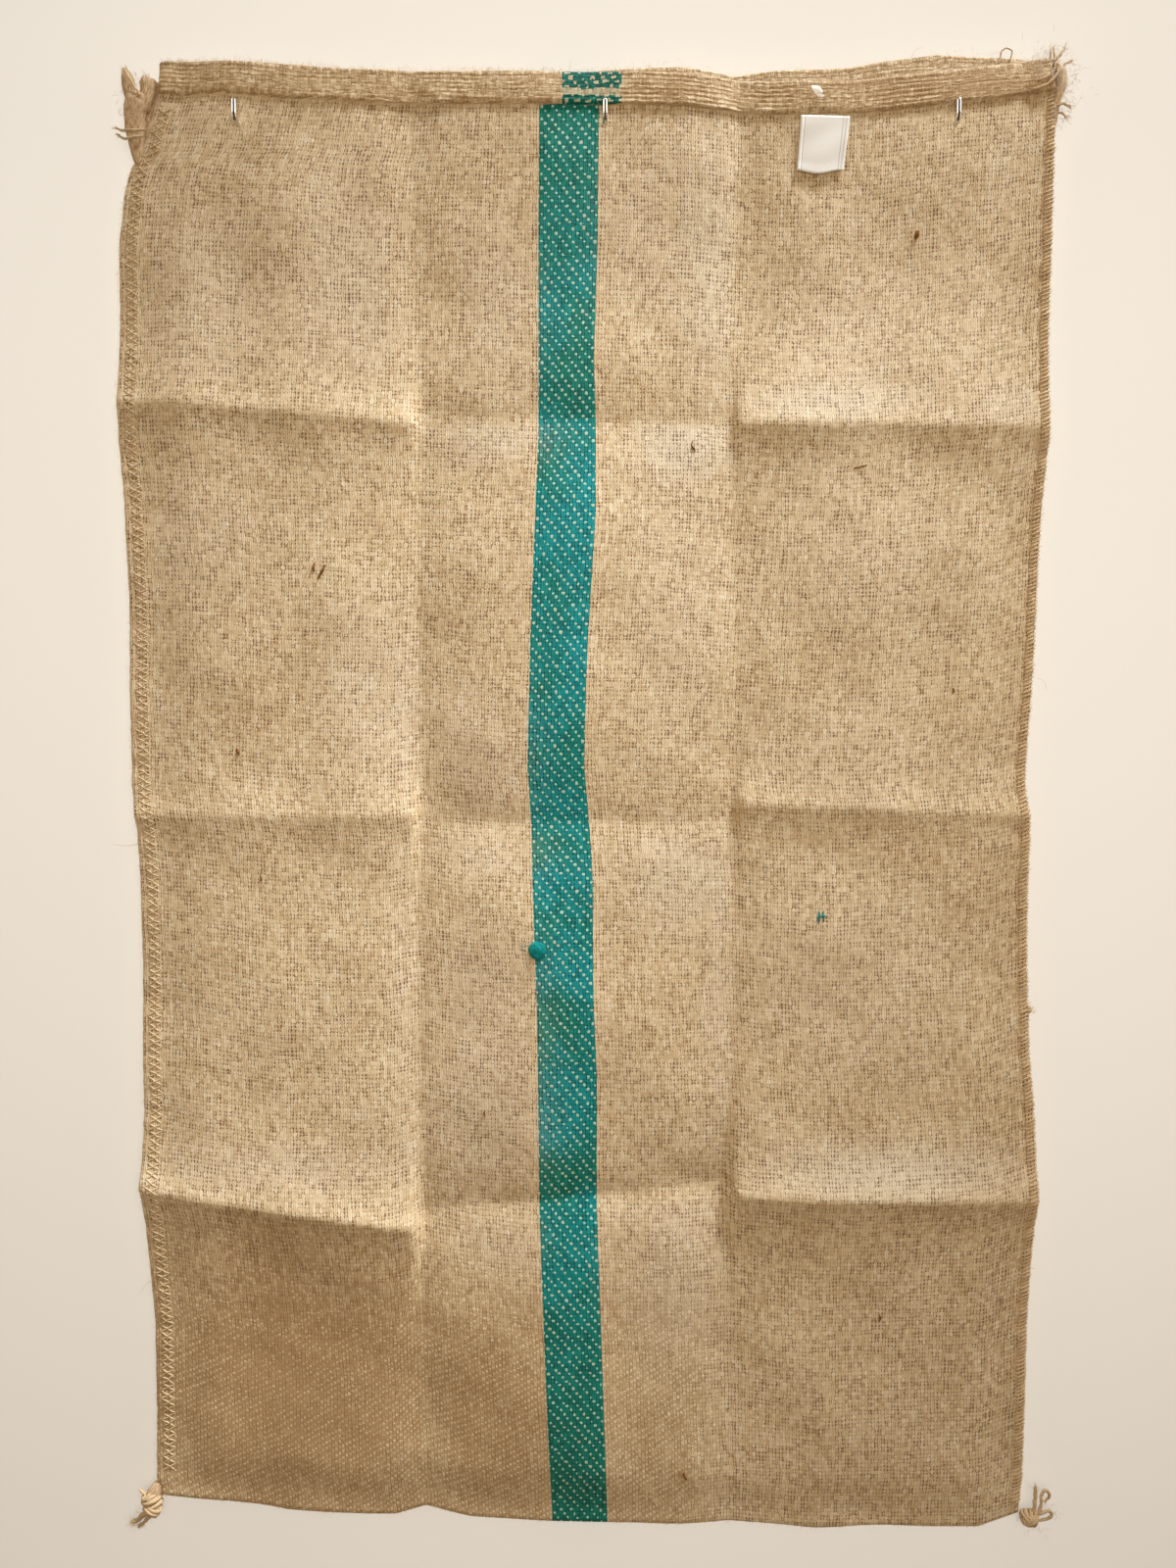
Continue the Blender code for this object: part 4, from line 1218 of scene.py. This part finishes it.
RIGHT_WINDINGS = (
    ((336.4, 14.5, -1073.4), (0.1, 0, 0.995), (0.995, 0, -0.1), (5.2, 5.4), 3.6, 13, 1.6),
    ((336.8, 15, -1073.0), (0.80, 0, 0.60), (0.60, 0, -0.80), (6.4, 6.2), 2.6, 6.5, 1.45, 0.8),
    ((335.4, 15, -1072.8), (0.78, 0, -0.62), (-0.62, 0, -0.78), (6.2, 6.0), 2.0, 6, 1.3, 2.1),
)
RIGHT_TAILS = (
    ((339.6, 16.5, -1068.5, 1.5), (340.4, 15.5, -1061, 1.6), (341.2, 14.5, -1054, 1.5),
     (341.6, 14, -1048.2, 0.8)),
    ((342.6, 16.5, -1069, 1.3), (345.4, 15.5, -1062.4, 1.3), (345.6, 15, -1055.4, 1.3),
     (348.4, 14.5, -1051.2, 1.2), (351.8, 14, -1053.4, 1.2), (352.2, 13.5, -1057.6, 1.1),
     (349.2, 13.5, -1060.6, 0.7)),
    ((342.4, 15.5, -1071, 1.2), (347.4, 14.5, -1068.8, 1.3), (352.4, 13.5, -1068.6, 1.3),
     (355.0, 13, -1071.6, 1.2), (352.2, 13, -1075.2, 1.2), (346.6, 13.5, -1076.2, 1.0),
     (341.4, 15, -1075.4, 0.9)),
)
RIGHT_BRUSHES = (
    ((341.2, 15, -1050), (0.1, 0, 1), 22, 5, 0.4, 1.6, 0.16),
    ((349.6, 14, -1059.5), (-0.5, 0, -0.9), 20, 4.5, 0.4, 1.6, 0.16),
    ((353.4, 13.5, -1071.5), (0.8, 0, -0.2), 30, 4.5, 0.7, 5),
    ((337, 19, -1073), (0.2, 0.6, -0.2), 60, 4.5, 0.9, 11),
)


def wrapped(centre, across, along_axis, radii, turns, length, thick, start=0.0):
    """Twine wound round a corner: its path winds about an axis and creeps along it."""
    across, along_axis = np.asarray(across, float), np.asarray(along_axis, float)
    out = np.cross(along_axis, across)
    t = np.linspace(0, 1, int(turns * 16) + 1)
    angle = 2 * np.pi * turns * t + start
    bulge = 1 - 0.35 * (2 * t - 1) ** 2
    path = (
        np.asarray(centre, float)
        + across * (radii[0] * bulge * np.cos(angle))[:, None]
        + out * (radii[1] * bulge * np.sin(angle))[:, None]
        + along_axis * ((t - 0.5) * length + 0.5 * np.sin(angle * 0.5))[:, None]
    )
    radius = thick * (1 + 0.08 * np.sin(angle * 1.7)) * (0.25 + 0.75 * np.sin(np.pi * t) ** 0.25)
    return tube(path, radius, 8)


def corners(twine, cloth, fibres, pale):
    """The bundles at the four corners. The last finish of each is that of its broken fibres."""
    ear = [lobe(EAR_BODY, 0.52, EAR_FOLDS)]
    ear += [lobe(rows, 0.5, EAR_FOLDS, turn_from=n) for n, rows in enumerate(EAR_LOBES)]
    ear.append(lobe(EAR_WEB, 0.2, EAR_FOLDS, turn_from=2.0))
    fray = [lobe(FRAY_BODY, 0.72, EAR_FOLDS, turn_from=1.0)]
    fray_twines = [np.array(stations) * (1, 1, 1, FRAY_THIN) for stations in FRAY_TWINES]
    left = [wrapped(*winding) for winding in LEFT_WINDINGS] + [lobe(LEFT_CORE, 0.8, EAR_FOLDS)]
    right = [wrapped(*winding) for winding in RIGHT_WINDINGS]
    for name, stands_for, parts, twines, brushes, finishes, slots in (
        ("ear", "ear_top_left", ear, EAR_TWINES, EAR_BRUSHES, [cloth, twine, fibres],
         [0, 0, 0, 0, 1, 1, 2]),
        ("corner_fray", "fray_top_right", fray, fray_twines, FRAY_BRUSHES, [cloth, twine, pale],
         [0] + [1] * len(fray_twines)),
        ("knot_left", "knot_bottom_left", left, LEFT_TAILS, LEFT_BRUSHES, [twine, cloth, fibres],
         [0, 0, 0, 1, 0, 0, 0]),
        ("knot_right", "knot_bottom_right", right, RIGHT_TAILS, RIGHT_BRUSHES, [twine, fibres],
         [0, 0, 0, 0, 0, 0]),
    ):
        strands = [twine_strand(stations) for stations in twines]
        hairs = [hair for stroke in brushes for hair in brush(*stroke)]
        slots = slots + [len(finishes) - 1] * len(hairs)
        bundle(name, parts + strands + hairs, finishes, slots, stands_for)


# ---- nap, slubs and other small things on the cloth ----
def grow(x, z, depth, heading, spread, length, thick=0.13):
    """Fibres at many places. heading and spread hold for all of them, and length is a range."""
    out = []
    for place in zip(x, depth, z):
        aim = np.asarray(heading, float) + HAND.normal(0, 1, 3) * spread
        out.append(fibre(place, aim, HAND.uniform(*length), 0.3, thick))
    return out


# How many fibres stand out of each part, and where the rim and the edge are worn pale.
RIM_HAIRS, BACK_RIM_HAIRS = 1500, 350
LEFT_HAIRS, RIGHT_HAIRS = 700, 1550
FOLD_HAIRS, HEM_HAIRS, FACE_HAIRS = 420, 380, 2500
WORN_RIM, WORN_EDGE = 60, 310


def nap(fibres, dyed, pale):
    """Fibres that stand out of the rim, the edges, the hem and the face."""
    hairs = []
    for side, rim, count in ((1, front_rim, RIM_HAIRS), (-1, back_rim, BACK_RIM_HAIRS)):
        x = HAND.uniform(-333, 334, count)
        z = rim(x) - HAND.uniform(-1.6, 1.2, count)
        share = HAND.uniform(0.2, 1.0, count)
        depth = middle(x, z) + side * thickness(x, z - 2, side) * share
        hairs += grow(x, z, depth, (0, 0.1, 1), (0.7, 0.4, 0.4), (1.2, 4.2))
    for column, outward, count in ((1, -1, LEFT_HAIRS), (2, 1, RIGHT_HAIRS)):
        z = HAND.uniform(-1052, 46, count)
        x = along(SIDES, column, z) + outward * HAND.uniform(-1.5, 0.4, count)
        depth = middle(x, z) + HAND.uniform(-2.0, 3.0, count)
        hairs += grow(x, z, depth, (outward, 0.3, 0), (0.4, 0.4, 0.7), (1.2, 3.6))
    x = HAND.uniform(-348, 326, FOLD_HAIRS)
    z = floor_line(x) + HAND.uniform(-0.2, 1.0, FOLD_HAIRS)
    hairs += grow(x, z, middle(x, z), (0, 0.3, -1), (0.6, 0.4, 0.4), (1.0, 3.2))
    x = HAND.uniform(-333, 334, HEM_HAIRS)
    z = front_rim(x) - HEM_DEPTH + HAND.uniform(-0.6, 2.5, HEM_HAIRS)
    hairs += grow(x, z, face_depth(x, z), (0, 0.5, -0.8), (0.7, 0.3, 0.5), (1.2, 3.4))
    x, z = HAND.uniform(-352, 322, FACE_HAIRS), HAND.uniform(-1060, 12, FACE_HAIRS)
    on_face = grow(x, z, face_depth(x, z) - 0.1, (0, 0.28, 0), (0.45, 0.12, 0.8), (1.8, 6.0), 0.11)
    in_stripe = (x > along(STRIPE, 1, z)) & (x < along(STRIPE, 2, z))
    starts = [points[0] for points, _, _ in hairs]
    slots = [2 if x > WORN_EDGE or (x > WORN_RIM and z > 0) else 0 for x, _, z in starts]
    slots += [int(inside) for inside in in_stripe]
    bundle("nap", hairs + on_face, [fibres, dyed, pale], slots)


# Places across and up, and radius, of thick spots and bits of bark spun into the yarn.
BARK = (
    ((234.8, -75.2, 0.6), (235.4, -77.0, 2.0), (234.4, -79.4, 1.6), (233.8, -81.4, 0.5)),
    ((-219.0, -324.4, 0.4), (-220.2, -327.8, 1.1), (-219.8, -331.0, 0.5)),
    ((-211.2, -325.8, 0.4), (-213.0, -329.8, 0.9), (-215.4, -333.8, 0.9), (-217.0, -337.0, 0.4)),
    ((-279.4, -464.4, 0.5), (-278.6, -467.2, 1.3), (-278.0, -469.6, 0.5)),
    ((187.4, -253.4, 0.4), (191.6, -252.8, 0.7), (197.6, -251.0, 0.35)),
    ((67.2, -231.0, 0.3), (65.8, -234.4, 0.5), (67.4, -237.4, 0.9), (68.6, -239.2, 0.4)),
    ((62.0, -1031.6, 0.4), (63.2, -1035.0, 1.0), (64.8, -1038.4, 0.4)),
    ((-262.5, -560.4, 0.3), (-261.8, -563.4, 0.9), (-262.3, -566.0, 0.3)),
    ((264.4, -418.2, 0.3), (265.0, -420.8, 0.9), (264.2, -423.0, 0.3)),
    ((-92.0, -742.6, 0.3), (-92.6, -745.4, 0.8), (-91.6, -748.0, 0.3)),
    ((214.0, -905.0, 0.3), (214.8, -907.8, 0.9), (214.0, -910.6, 0.3)),
)
TEAL_TUFT = (
    ((163.4, -588.6, 0.3), (163.9, -591.6, 0.7), (163.2, -595.2, 0.7), (163.8, -598.6, 0.3)),
    ((167.4, -588.4, 0.3), (166.8, -592.0, 0.6), (167.4, -596.8, 0.3)),
    ((162.0, -593.4, 0.3), (166.0, -592.6, 0.6), (170.6, -592.8, 0.3)),
)
# Single hairs that stand clear of the cloth: (x, depth, z, radius).
HAIRS = (
    ((-352.0, 20, -533.2, 0.16), (-359.3, 20, -538.0, 0.17), (-367.4, 20, -539.4, 0.16),
     (-378.0, 19, -538.6, 0.10)),
    ((-144.8, 22, 36.5, 0.17), (-144.2, 22, 41.6, 0.20), (-146.2, 22, 43.4, 0.17),
     (-149.6, 22, 46.2, 0.10)),
    ((-26.6, 22, 37.4, 0.17), (-26.4, 22, 43.0, 0.18), (-24.7, 22, 50.6, 0.10)),
    ((328.2, 20, -862.6, 0.10), (329.6, 21, -866.5, 0.26), (332.4, 21, -868.4, 0.28),
     (335.6, 21, -870.4, 0.16)),
    ((-353.4, 19, -880.0, 0.14), (-358.6, 19, -884.0, 0.14), (-362.0, 19, -890.0, 0.08)),
    ((331.0, 19, -410.0, 0.14), (336.6, 19, -414.0, 0.14), (338.4, 19, -420.0, 0.08)),
    ((230.0, 17, 54.0, 0.14), (233.0, 18, 59.0, 0.14), (238.6, 18, 61.4, 0.08)),
)


def on_cloth(marks):
    """A strand that lies on the front, through (x, z, radius) stations."""
    x, z, radius = np.array(marks).T
    depth = face_depth(x, z) + 0.3 * radius
    return twine_strand(np.column_stack([x, depth, z, radius]), 5, 6, 0.12)


def small_things(twine, fibres, bark, dyed, pale):
    parts = [(on_cloth(marks), 2) for marks in BARK]
    parts += [(on_cloth(marks), 3) for marks in TEAL_TUFT]
    parts += [(twine_strand(stations, 5, 4, 0.15), 1) for stations in HAIRS]
    # A thick slub in the dyed yarn at the stripe's left edge.
    x = np.array([-52.4, -52.0, -51.8, -51.4, -51.2])
    z = np.array([-612.4, -615, -619, -623, -626])
    half = (1.8, 5.4, 6.6, 5.4, 1.8)
    rows = np.column_stack([x, face_depth(x, z) + (0, 0.5, 0.9, 0.5, 0), z, half])
    parts.append((lobe(rows, 0.17, [(3, 0.08, 0.4), (7, 0.04, 1.0)]), 3))
    depth = face_depth(np.array([-52.0]), np.array([-619.0]))[0] + 1.6
    parts += [(hair, 3) for hair in brush((-52, depth, -619), (0, 0.5, 0), 90, 5, 1.0, 9, 0.16)]
    # A knot in the sewing, at the right edge.
    parts.append((twine_strand([(324.2, 21, -662, 0.8), (327.4, 22, -665, 2.0),
                                (326.0, 22, -668.4, 1.8), (323.6, 21, -671, 0.7)]), 0))
    parts += [(hair, 1) for hair in brush((327.4, 22, -666), (1, 0.2, 0.1), 40, 4, 0.6, 4, 0.15)]
    # A flat tuft of bleached fibre in the hem.
    x, z = np.array([155.6, 157.2, 160.2, 161.8]), np.array([27.6, 25.2, 20.6, 18.2])
    rows = np.column_stack([x, face_depth(x, z) - 0.05, z, (2.8, 3.5, 3.3, 2.4)])
    parts.append((lobe(rows, 0.08, [(5, 0.06, 0.4)]), 4))
    bundle("slubs_and_hairs", [part for part, _ in parts], [twine, fibres, bark, dyed, pale],
           [which for _, which in parts])


# ---- label ----
LABEL = {"left": 146.0, "top": 7.0, "width": 36.5, "height": 40.0, "lean": 3.0, "thick": 0.45}
LABEL_LIFT = 0.35
LABEL_BOW = 1.2  # it stands out this much more in the middle, at its foot
LABEL_SAG, LABEL_TILT = 2.6, 1.4  # its foot hangs low in the middle, and its top falls to the right
LABEL_RIDGE, LABEL_CURL, LABEL_RIPPLE = 0.28, 0.7, 0.18  # turned edges, lower corner and waves
LABEL_OVER = 0.75  # above the mean of the cloth, to clear its unevenness
LABEL_RULES, RULE_WIDTH, RULE_WANDER = (3.2, 31.8), 0.44, 0.5
LABEL_TURN = 2.4  # the long edges are turned under this far
LABEL_GRID = (31, 33)
LABEL_EDGES = (0.058, 0.068, 0.078, 0.922, 0.932, 0.942)  # more columns where the turn ends


def label_points(across, down):
    """Places on the label's outer face, from shares across and down it."""
    u, v = across * LABEL["width"], down * LABEL["height"]
    x = LABEL["left"] + u - LABEL["lean"] * down * (0.9 + 0.5 * across)
    sag = LABEL_SAG * down * np.sin(np.pi * np.clip((across - 0.02) / 0.86, 0, 1)) ** 1.5
    z = LABEL["top"] - v - LABEL_TILT * across * (1 - down) - sag
    bow = LABEL_BOW * np.sin(np.pi * across) * (0.25 + 0.75 * down)
    turned = np.minimum(u, LABEL["width"] - u)
    ridge = LABEL_RIDGE * (1 - smooth((turned - LABEL_TURN + 0.3) / 0.6))
    curl = LABEL_CURL * smooth((down - 0.8) / 0.2) * (1 - across)
    ripple = LABEL_RIPPLE * np.sin(9 * down + 4 * across)
    depth = MIDDLE + relief(x, z) + gap_part(x, z, 1) + CLOTH + LABEL_OVER
    return np.stack([x, depth + LABEL_LIFT + LABEL["thick"] + bow + ridge + curl + ripple, z], -1)


def label(finish):
    """The label as a thin closed sheet, bare but for its two rules."""
    columns, high = LABEL_GRID
    shares = np.unique(np.append(np.linspace(0, 1, columns), LABEL_EDGES))
    down, across = np.meshgrid(np.linspace(0, 1, high), shares, indexing="ij")
    outer = label_points(across, down)
    inner = outer - (0, LABEL["thick"], 0)
    wide = len(shares)
    points = np.concatenate([outer.reshape(-1, 3), inner.reshape(-1, 3)])
    uv = np.stack([across * LABEL["width"], down * LABEL["height"]], -1).reshape(-1, 2)
    uv = np.concatenate([uv, uv])
    half = wide * high
    faces = []
    for row in range(high - 1):
        for column in range(wide - 1):
            a = row * wide + column
            b, c, d = a + 1, a + wide + 1, a + wide
            faces += [[a, d, c, b], [half + a, half + b, half + c, half + d]]
    border = [row * wide for row in range(high)]
    border += [(high - 1) * wide + column for column in range(1, wide)]
    border += [row * wide + wide - 1 for row in range(high - 2, -1, -1)]
    border += list(range(wide - 2, 0, -1))
    for a, b in zip(border, border[1:] + border[:1]):
        faces.append([a, half + a, half + b, b])
    piece = put_in_scene("label_tape", points, faces, [finish], uv=uv)
    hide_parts("label")


# ---- hooks ----
HOOKS = {"hook_left": -274.0, "hook_centre": 0.0, "hook_right": 261.0}
WIRE = 1.9  # radius
PLATE, PLATE_THICK = 11.0, 3.0  # radius and thickness
PLATE_BEVEL = 0.6
HOOK_REACH, HOOK_BEND, HOOK_RISE = 34.0, 5.0, 15.0
QUARTER_TURN = 0.5523  # handles this share of the radius long bend a curve into a quarter circle


def wall_hook(name, x, finish):
    """A round plate, and a wire that comes out of it and turns up to a rounded tip."""
    bpy.ops.object.select_all(action="DESELECT")
    bpy.ops.mesh.primitive_cylinder_add(
        vertices=64,
        radius=PLATE * MM,
        depth=PLATE_THICK * MM,
        location=(x * MM, -PLATE_THICK / 2 * MM, 0),
        rotation=(np.pi / 2, 0, 0),
    )
    plate = bpy.context.object
    bevel = plate.modifiers.new("edge", "BEVEL")
    bevel.width, bevel.segments = PLATE_BEVEL * MM, 3
    bpy.ops.object.modifier_apply(modifier="edge")
    bpy.ops.curve.primitive_bezier_curve_add()
    wire = bpy.context.object
    wire.location = (0, 0, 0)
    wire.data.bevel_depth, wire.data.bevel_resolution = WIRE * MM, 10
    wire.data.resolution_u, wire.data.use_fill_caps = 16, True
    path = wire.data.splines[0]
    path.bezier_points.add(2)
    pull = QUARTER_TURN * HOOK_BEND
    level = HOOK_REACH - HOOK_BEND
    for point, place, ahead in zip(
        path.bezier_points,
        ((0.5, 0), (level, 0), (HOOK_REACH, HOOK_BEND), (HOOK_REACH, HOOK_RISE - WIRE)),
        ((3, 0), (pull, 0), (0, pull), (0, 1)),
    ):
        point.handle_left_type = point.handle_right_type = "FREE"
        point.co = (x * MM, -place[0] * MM, place[1] * MM)
        step = Vector((0, -ahead[0] * MM, ahead[1] * MM))
        point.handle_left, point.handle_right = point.co - step, point.co + step
    bpy.ops.object.convert(target="MESH")
    bpy.ops.mesh.primitive_uv_sphere_add(
        segments=48,
        ring_count=24,
        radius=WIRE * MM,
        location=(x * MM, -HOOK_REACH * MM, (HOOK_RISE - WIRE) * MM),
    )
    for part in (plate, wire):
        part.select_set(True)
    bpy.ops.object.join()
    bpy.ops.object.transform_apply(location=True, rotation=True, scale=True)
    bpy.ops.object.shade_smooth_by_angle(angle=np.radians(40))
    piece = bpy.context.object
    piece.name = name + "_smooth"
    piece.data.materials.clear()
    piece.data.materials.append(finish)
    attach(piece, BODY)
    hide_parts(name)
    return piece


# ---- run ----
twill = jute_twill("jute twill, face", False)
twill_back = jute_twill("jute twill, reverse", True)
twine = jute_twine("two-ply jute twine", "E2CCA8", "A08058")
hair = loose_fibre("loose jute fibre", "F0DFC0", "C9A878")
tape = label_tape("non-woven polypropylene tape")
gathered = combed_jute("gathered jute", "E0C8A6", "A5835C")
bark = combed_jute("jute bark", "94693A", "64431F")
dyed_slub = combed_jute("teal dyed jute", "14A3A0", "006468")
sack_piece = sack([twill, twill_back])
side_sewing(jute_twine("sewing twine", "E0CDAC", "B79D76"), twine)
pale_hair = loose_fibre("broken jute fibre", "FBF6EC", "DDD0B6")
corners(twine, gathered, hair, pale_hair)
nap(hair, dyed_slub, pale_hair)
small_things(twine, hair, bark, dyed_slub, pale_hair)
label(tape)
nickel = polished_nickel("polished nickel plate")
hooks = [wall_hook(name, x, nickel) for name, x in HOOKS.items()]

# ---- room and light ----
scene = bpy.context.scene
camera_data = bpy.data.cameras.new("camera")
camera_data.lens, camera_data.sensor_width = 26.0, 36.0
camera = bpy.data.objects.new("camera", camera_data)
camera.location = (-0.0127, -0.888, -0.4586)
camera.rotation_euler = (np.radians(87.8), 0, 0)
scene.collection.objects.link(camera)
scene.camera = camera
scene.view_settings.view_transform = "Standard"


def lamp(name, place, aim, size, power, colour, cone=None):
    """A soft lamp: a square panel, or a spot where cone gives its angle in degrees."""
    light = bpy.data.lights.new(name, "AREA" if cone is None else "SPOT")
    if cone is None:
        light.size = size
    else:
        light.shadow_soft_size, light.spot_size, light.spot_blend = size / 2, np.radians(cone), 1.0
    light.energy = power
    light.color = linear(colour)
    made = bpy.data.objects.new(name, light)
    made.location = place
    made.rotation_euler = (Vector(aim) - Vector(place)).to_track_quat("-Z", "Y").to_euler()
    scene.collection.objects.link(made)
    return made


window = lamp("window", (1.21, -0.80, 2.50), (-0.11, 0, -0.52), 0.9, 1020, "F6FAFF", cone=21)
room = lamp("room", (0.1, -1.5, -0.35), (0, 0, -0.45), 0.9, 9, "FFE8CC")
room.visible_glossy = False  # a bare wall faces the hooks, and no lamp shows in them
wash = lamp("wall wash", (0.05, -1.8, -0.05), (-0.05, 0, -0.45), 1.4, 24, "F4F9FF")
glints = [
    lamp("glint " + name, (side * 1.3, -0.5, 0.78), (0, 0, 0), 0.8, 7, "FFFFFF")
    for name, side in (("left", -1), ("right", 1))
]
# The room is dark behind the viewer and bright to both sides.
world = bpy.data.worlds.new("room light")
world.use_nodes = True
sky = world.node_tree
strengths = work_out(
    sky,
    {"facing": add(sky, "ShaderNodeTexCoord")},
    [
        (("across", "ahead"), "SPLIT", "facing"),
        ("behind", "MULTIPLY", "ahead", -1.0),
        ("dark", "MAXIMUM", "behind", 0.0),
        ("darker", "POWER", "dark", 3.0),
        ("fill", "MULTIPLY_ADD", "darker", -0.34, 0.36),
        ("side", "ABSOLUTE", "across"),
        ("sides", "POWER", "side", 10.0),
        ("strength", "MULTIPLY_ADD", "sides", 1.6, "fill"),
    ],
)
fill(sky, sky.nodes["Background"], {"Color": "FFECD4", "Strength": strengths["strength"]})
scene.world = world


def flat_sheet(name, corners, finish, opening=()):
    """A flat piece of the room through four corners, with an opening where four more are given."""
    mesh = bpy.data.meshes.new(name)
    around = [(n, (n + 1) % 4, 4 + (n + 1) % 4, 4 + n) for n in range(4)]
    mesh.from_pydata([*corners, *opening], [], around if opening else [(0, 1, 2, 3)])
    mesh.materials.append(finish)
    made = bpy.data.objects.new(name, mesh)
    scene.collection.objects.link(made)
    return made


def upright(left, right, low, high):
    """Corners of an upright rectangle on the wall's face."""
    return [(x, WALL, z) for x, z in ((left, low), (right, low), (right, high), (left, high))]


FLOOR, CEILING, HALF_WIDE, HALF_DEEP = -1.30, 2.2, 3.0, 4.0
WALL = 0.001  # just behind the cloth
# The paper is seen from the front only, and is cut out behind the sack, so that its back can be
# looked at and has light.
paper = new_material("pale studio paper", Roughness=0.9, Base_Color="EDEAE2")
lining = paper.node_tree
front_only = add(
    lining,
    "ShaderNodeMixShader",
    {
        0: add(lining, "ShaderNodeNewGeometry").node.outputs["Backfacing"],
        1: lining.nodes["Principled BSDF"].outputs[0],
        2: add(lining, "ShaderNodeBsdfTransparent"),
    },
)
fill(lining, lining.nodes["Material Output"], {"Surface": front_only})
backdrop = flat_sheet(
    "backdrop",
    upright(-HALF_WIDE, HALF_WIDE, FLOOR, CEILING),
    paper,
    upright(-0.30, 0.295, -1.02, 0.02),
)
# The studio floor is pale and is only looked at. The light that comes up from below is that of the
# dark boards just under it, as in a furnished room.
for name, height, finish in (
    ("floor", FLOOR, new_material("pale studio floor", Roughness=0.9, Base_Color="DCD8CF")),
    ("boards", FLOOR - MM, new_material("dark waxed boards", Roughness=0.6, Base_Color="6E5F50")),
):
    ground = [
        (-HALF_WIDE, -HALF_DEEP, height),
        (HALF_WIDE, -HALF_DEEP, height),
        (HALF_WIDE, HALF_DEEP, height),
        (-HALF_WIDE, HALF_DEEP, height),
    ]
    laid = flat_sheet(name, ground, finish)
    if name == "floor":
        laid.visible_diffuse = laid.visible_glossy = laid.visible_shadow = False


def group(name, pieces, state="INCLUDE"):
    """A collection of what a lamp lights or is shaded by or, with EXCLUDE, isn't."""
    made = bpy.data.collections.new(name)
    for piece in pieces:
        made.objects.link(piece)
    for entry in made.collection_objects:
        entry.light_linking.link_state = state
    return made


# The window light is flagged off the backdrop, which has a light of its own. The hooks are too
# thin to shade the cloth in so broad a light.
window.light_linking.receiver_collection = group("flagged", [backdrop], "EXCLUDE")
window.light_linking.blocker_collection = group("thin", hooks, "EXCLUDE")
washed = group("washed", [backdrop])
wash.light_linking.receiver_collection = wash.light_linking.blocker_collection = washed
# Two bright panes to the sides show in the metal alone.
metal = group("metal", hooks)
for glint in glints:
    glint.light_linking.receiver_collection = metal
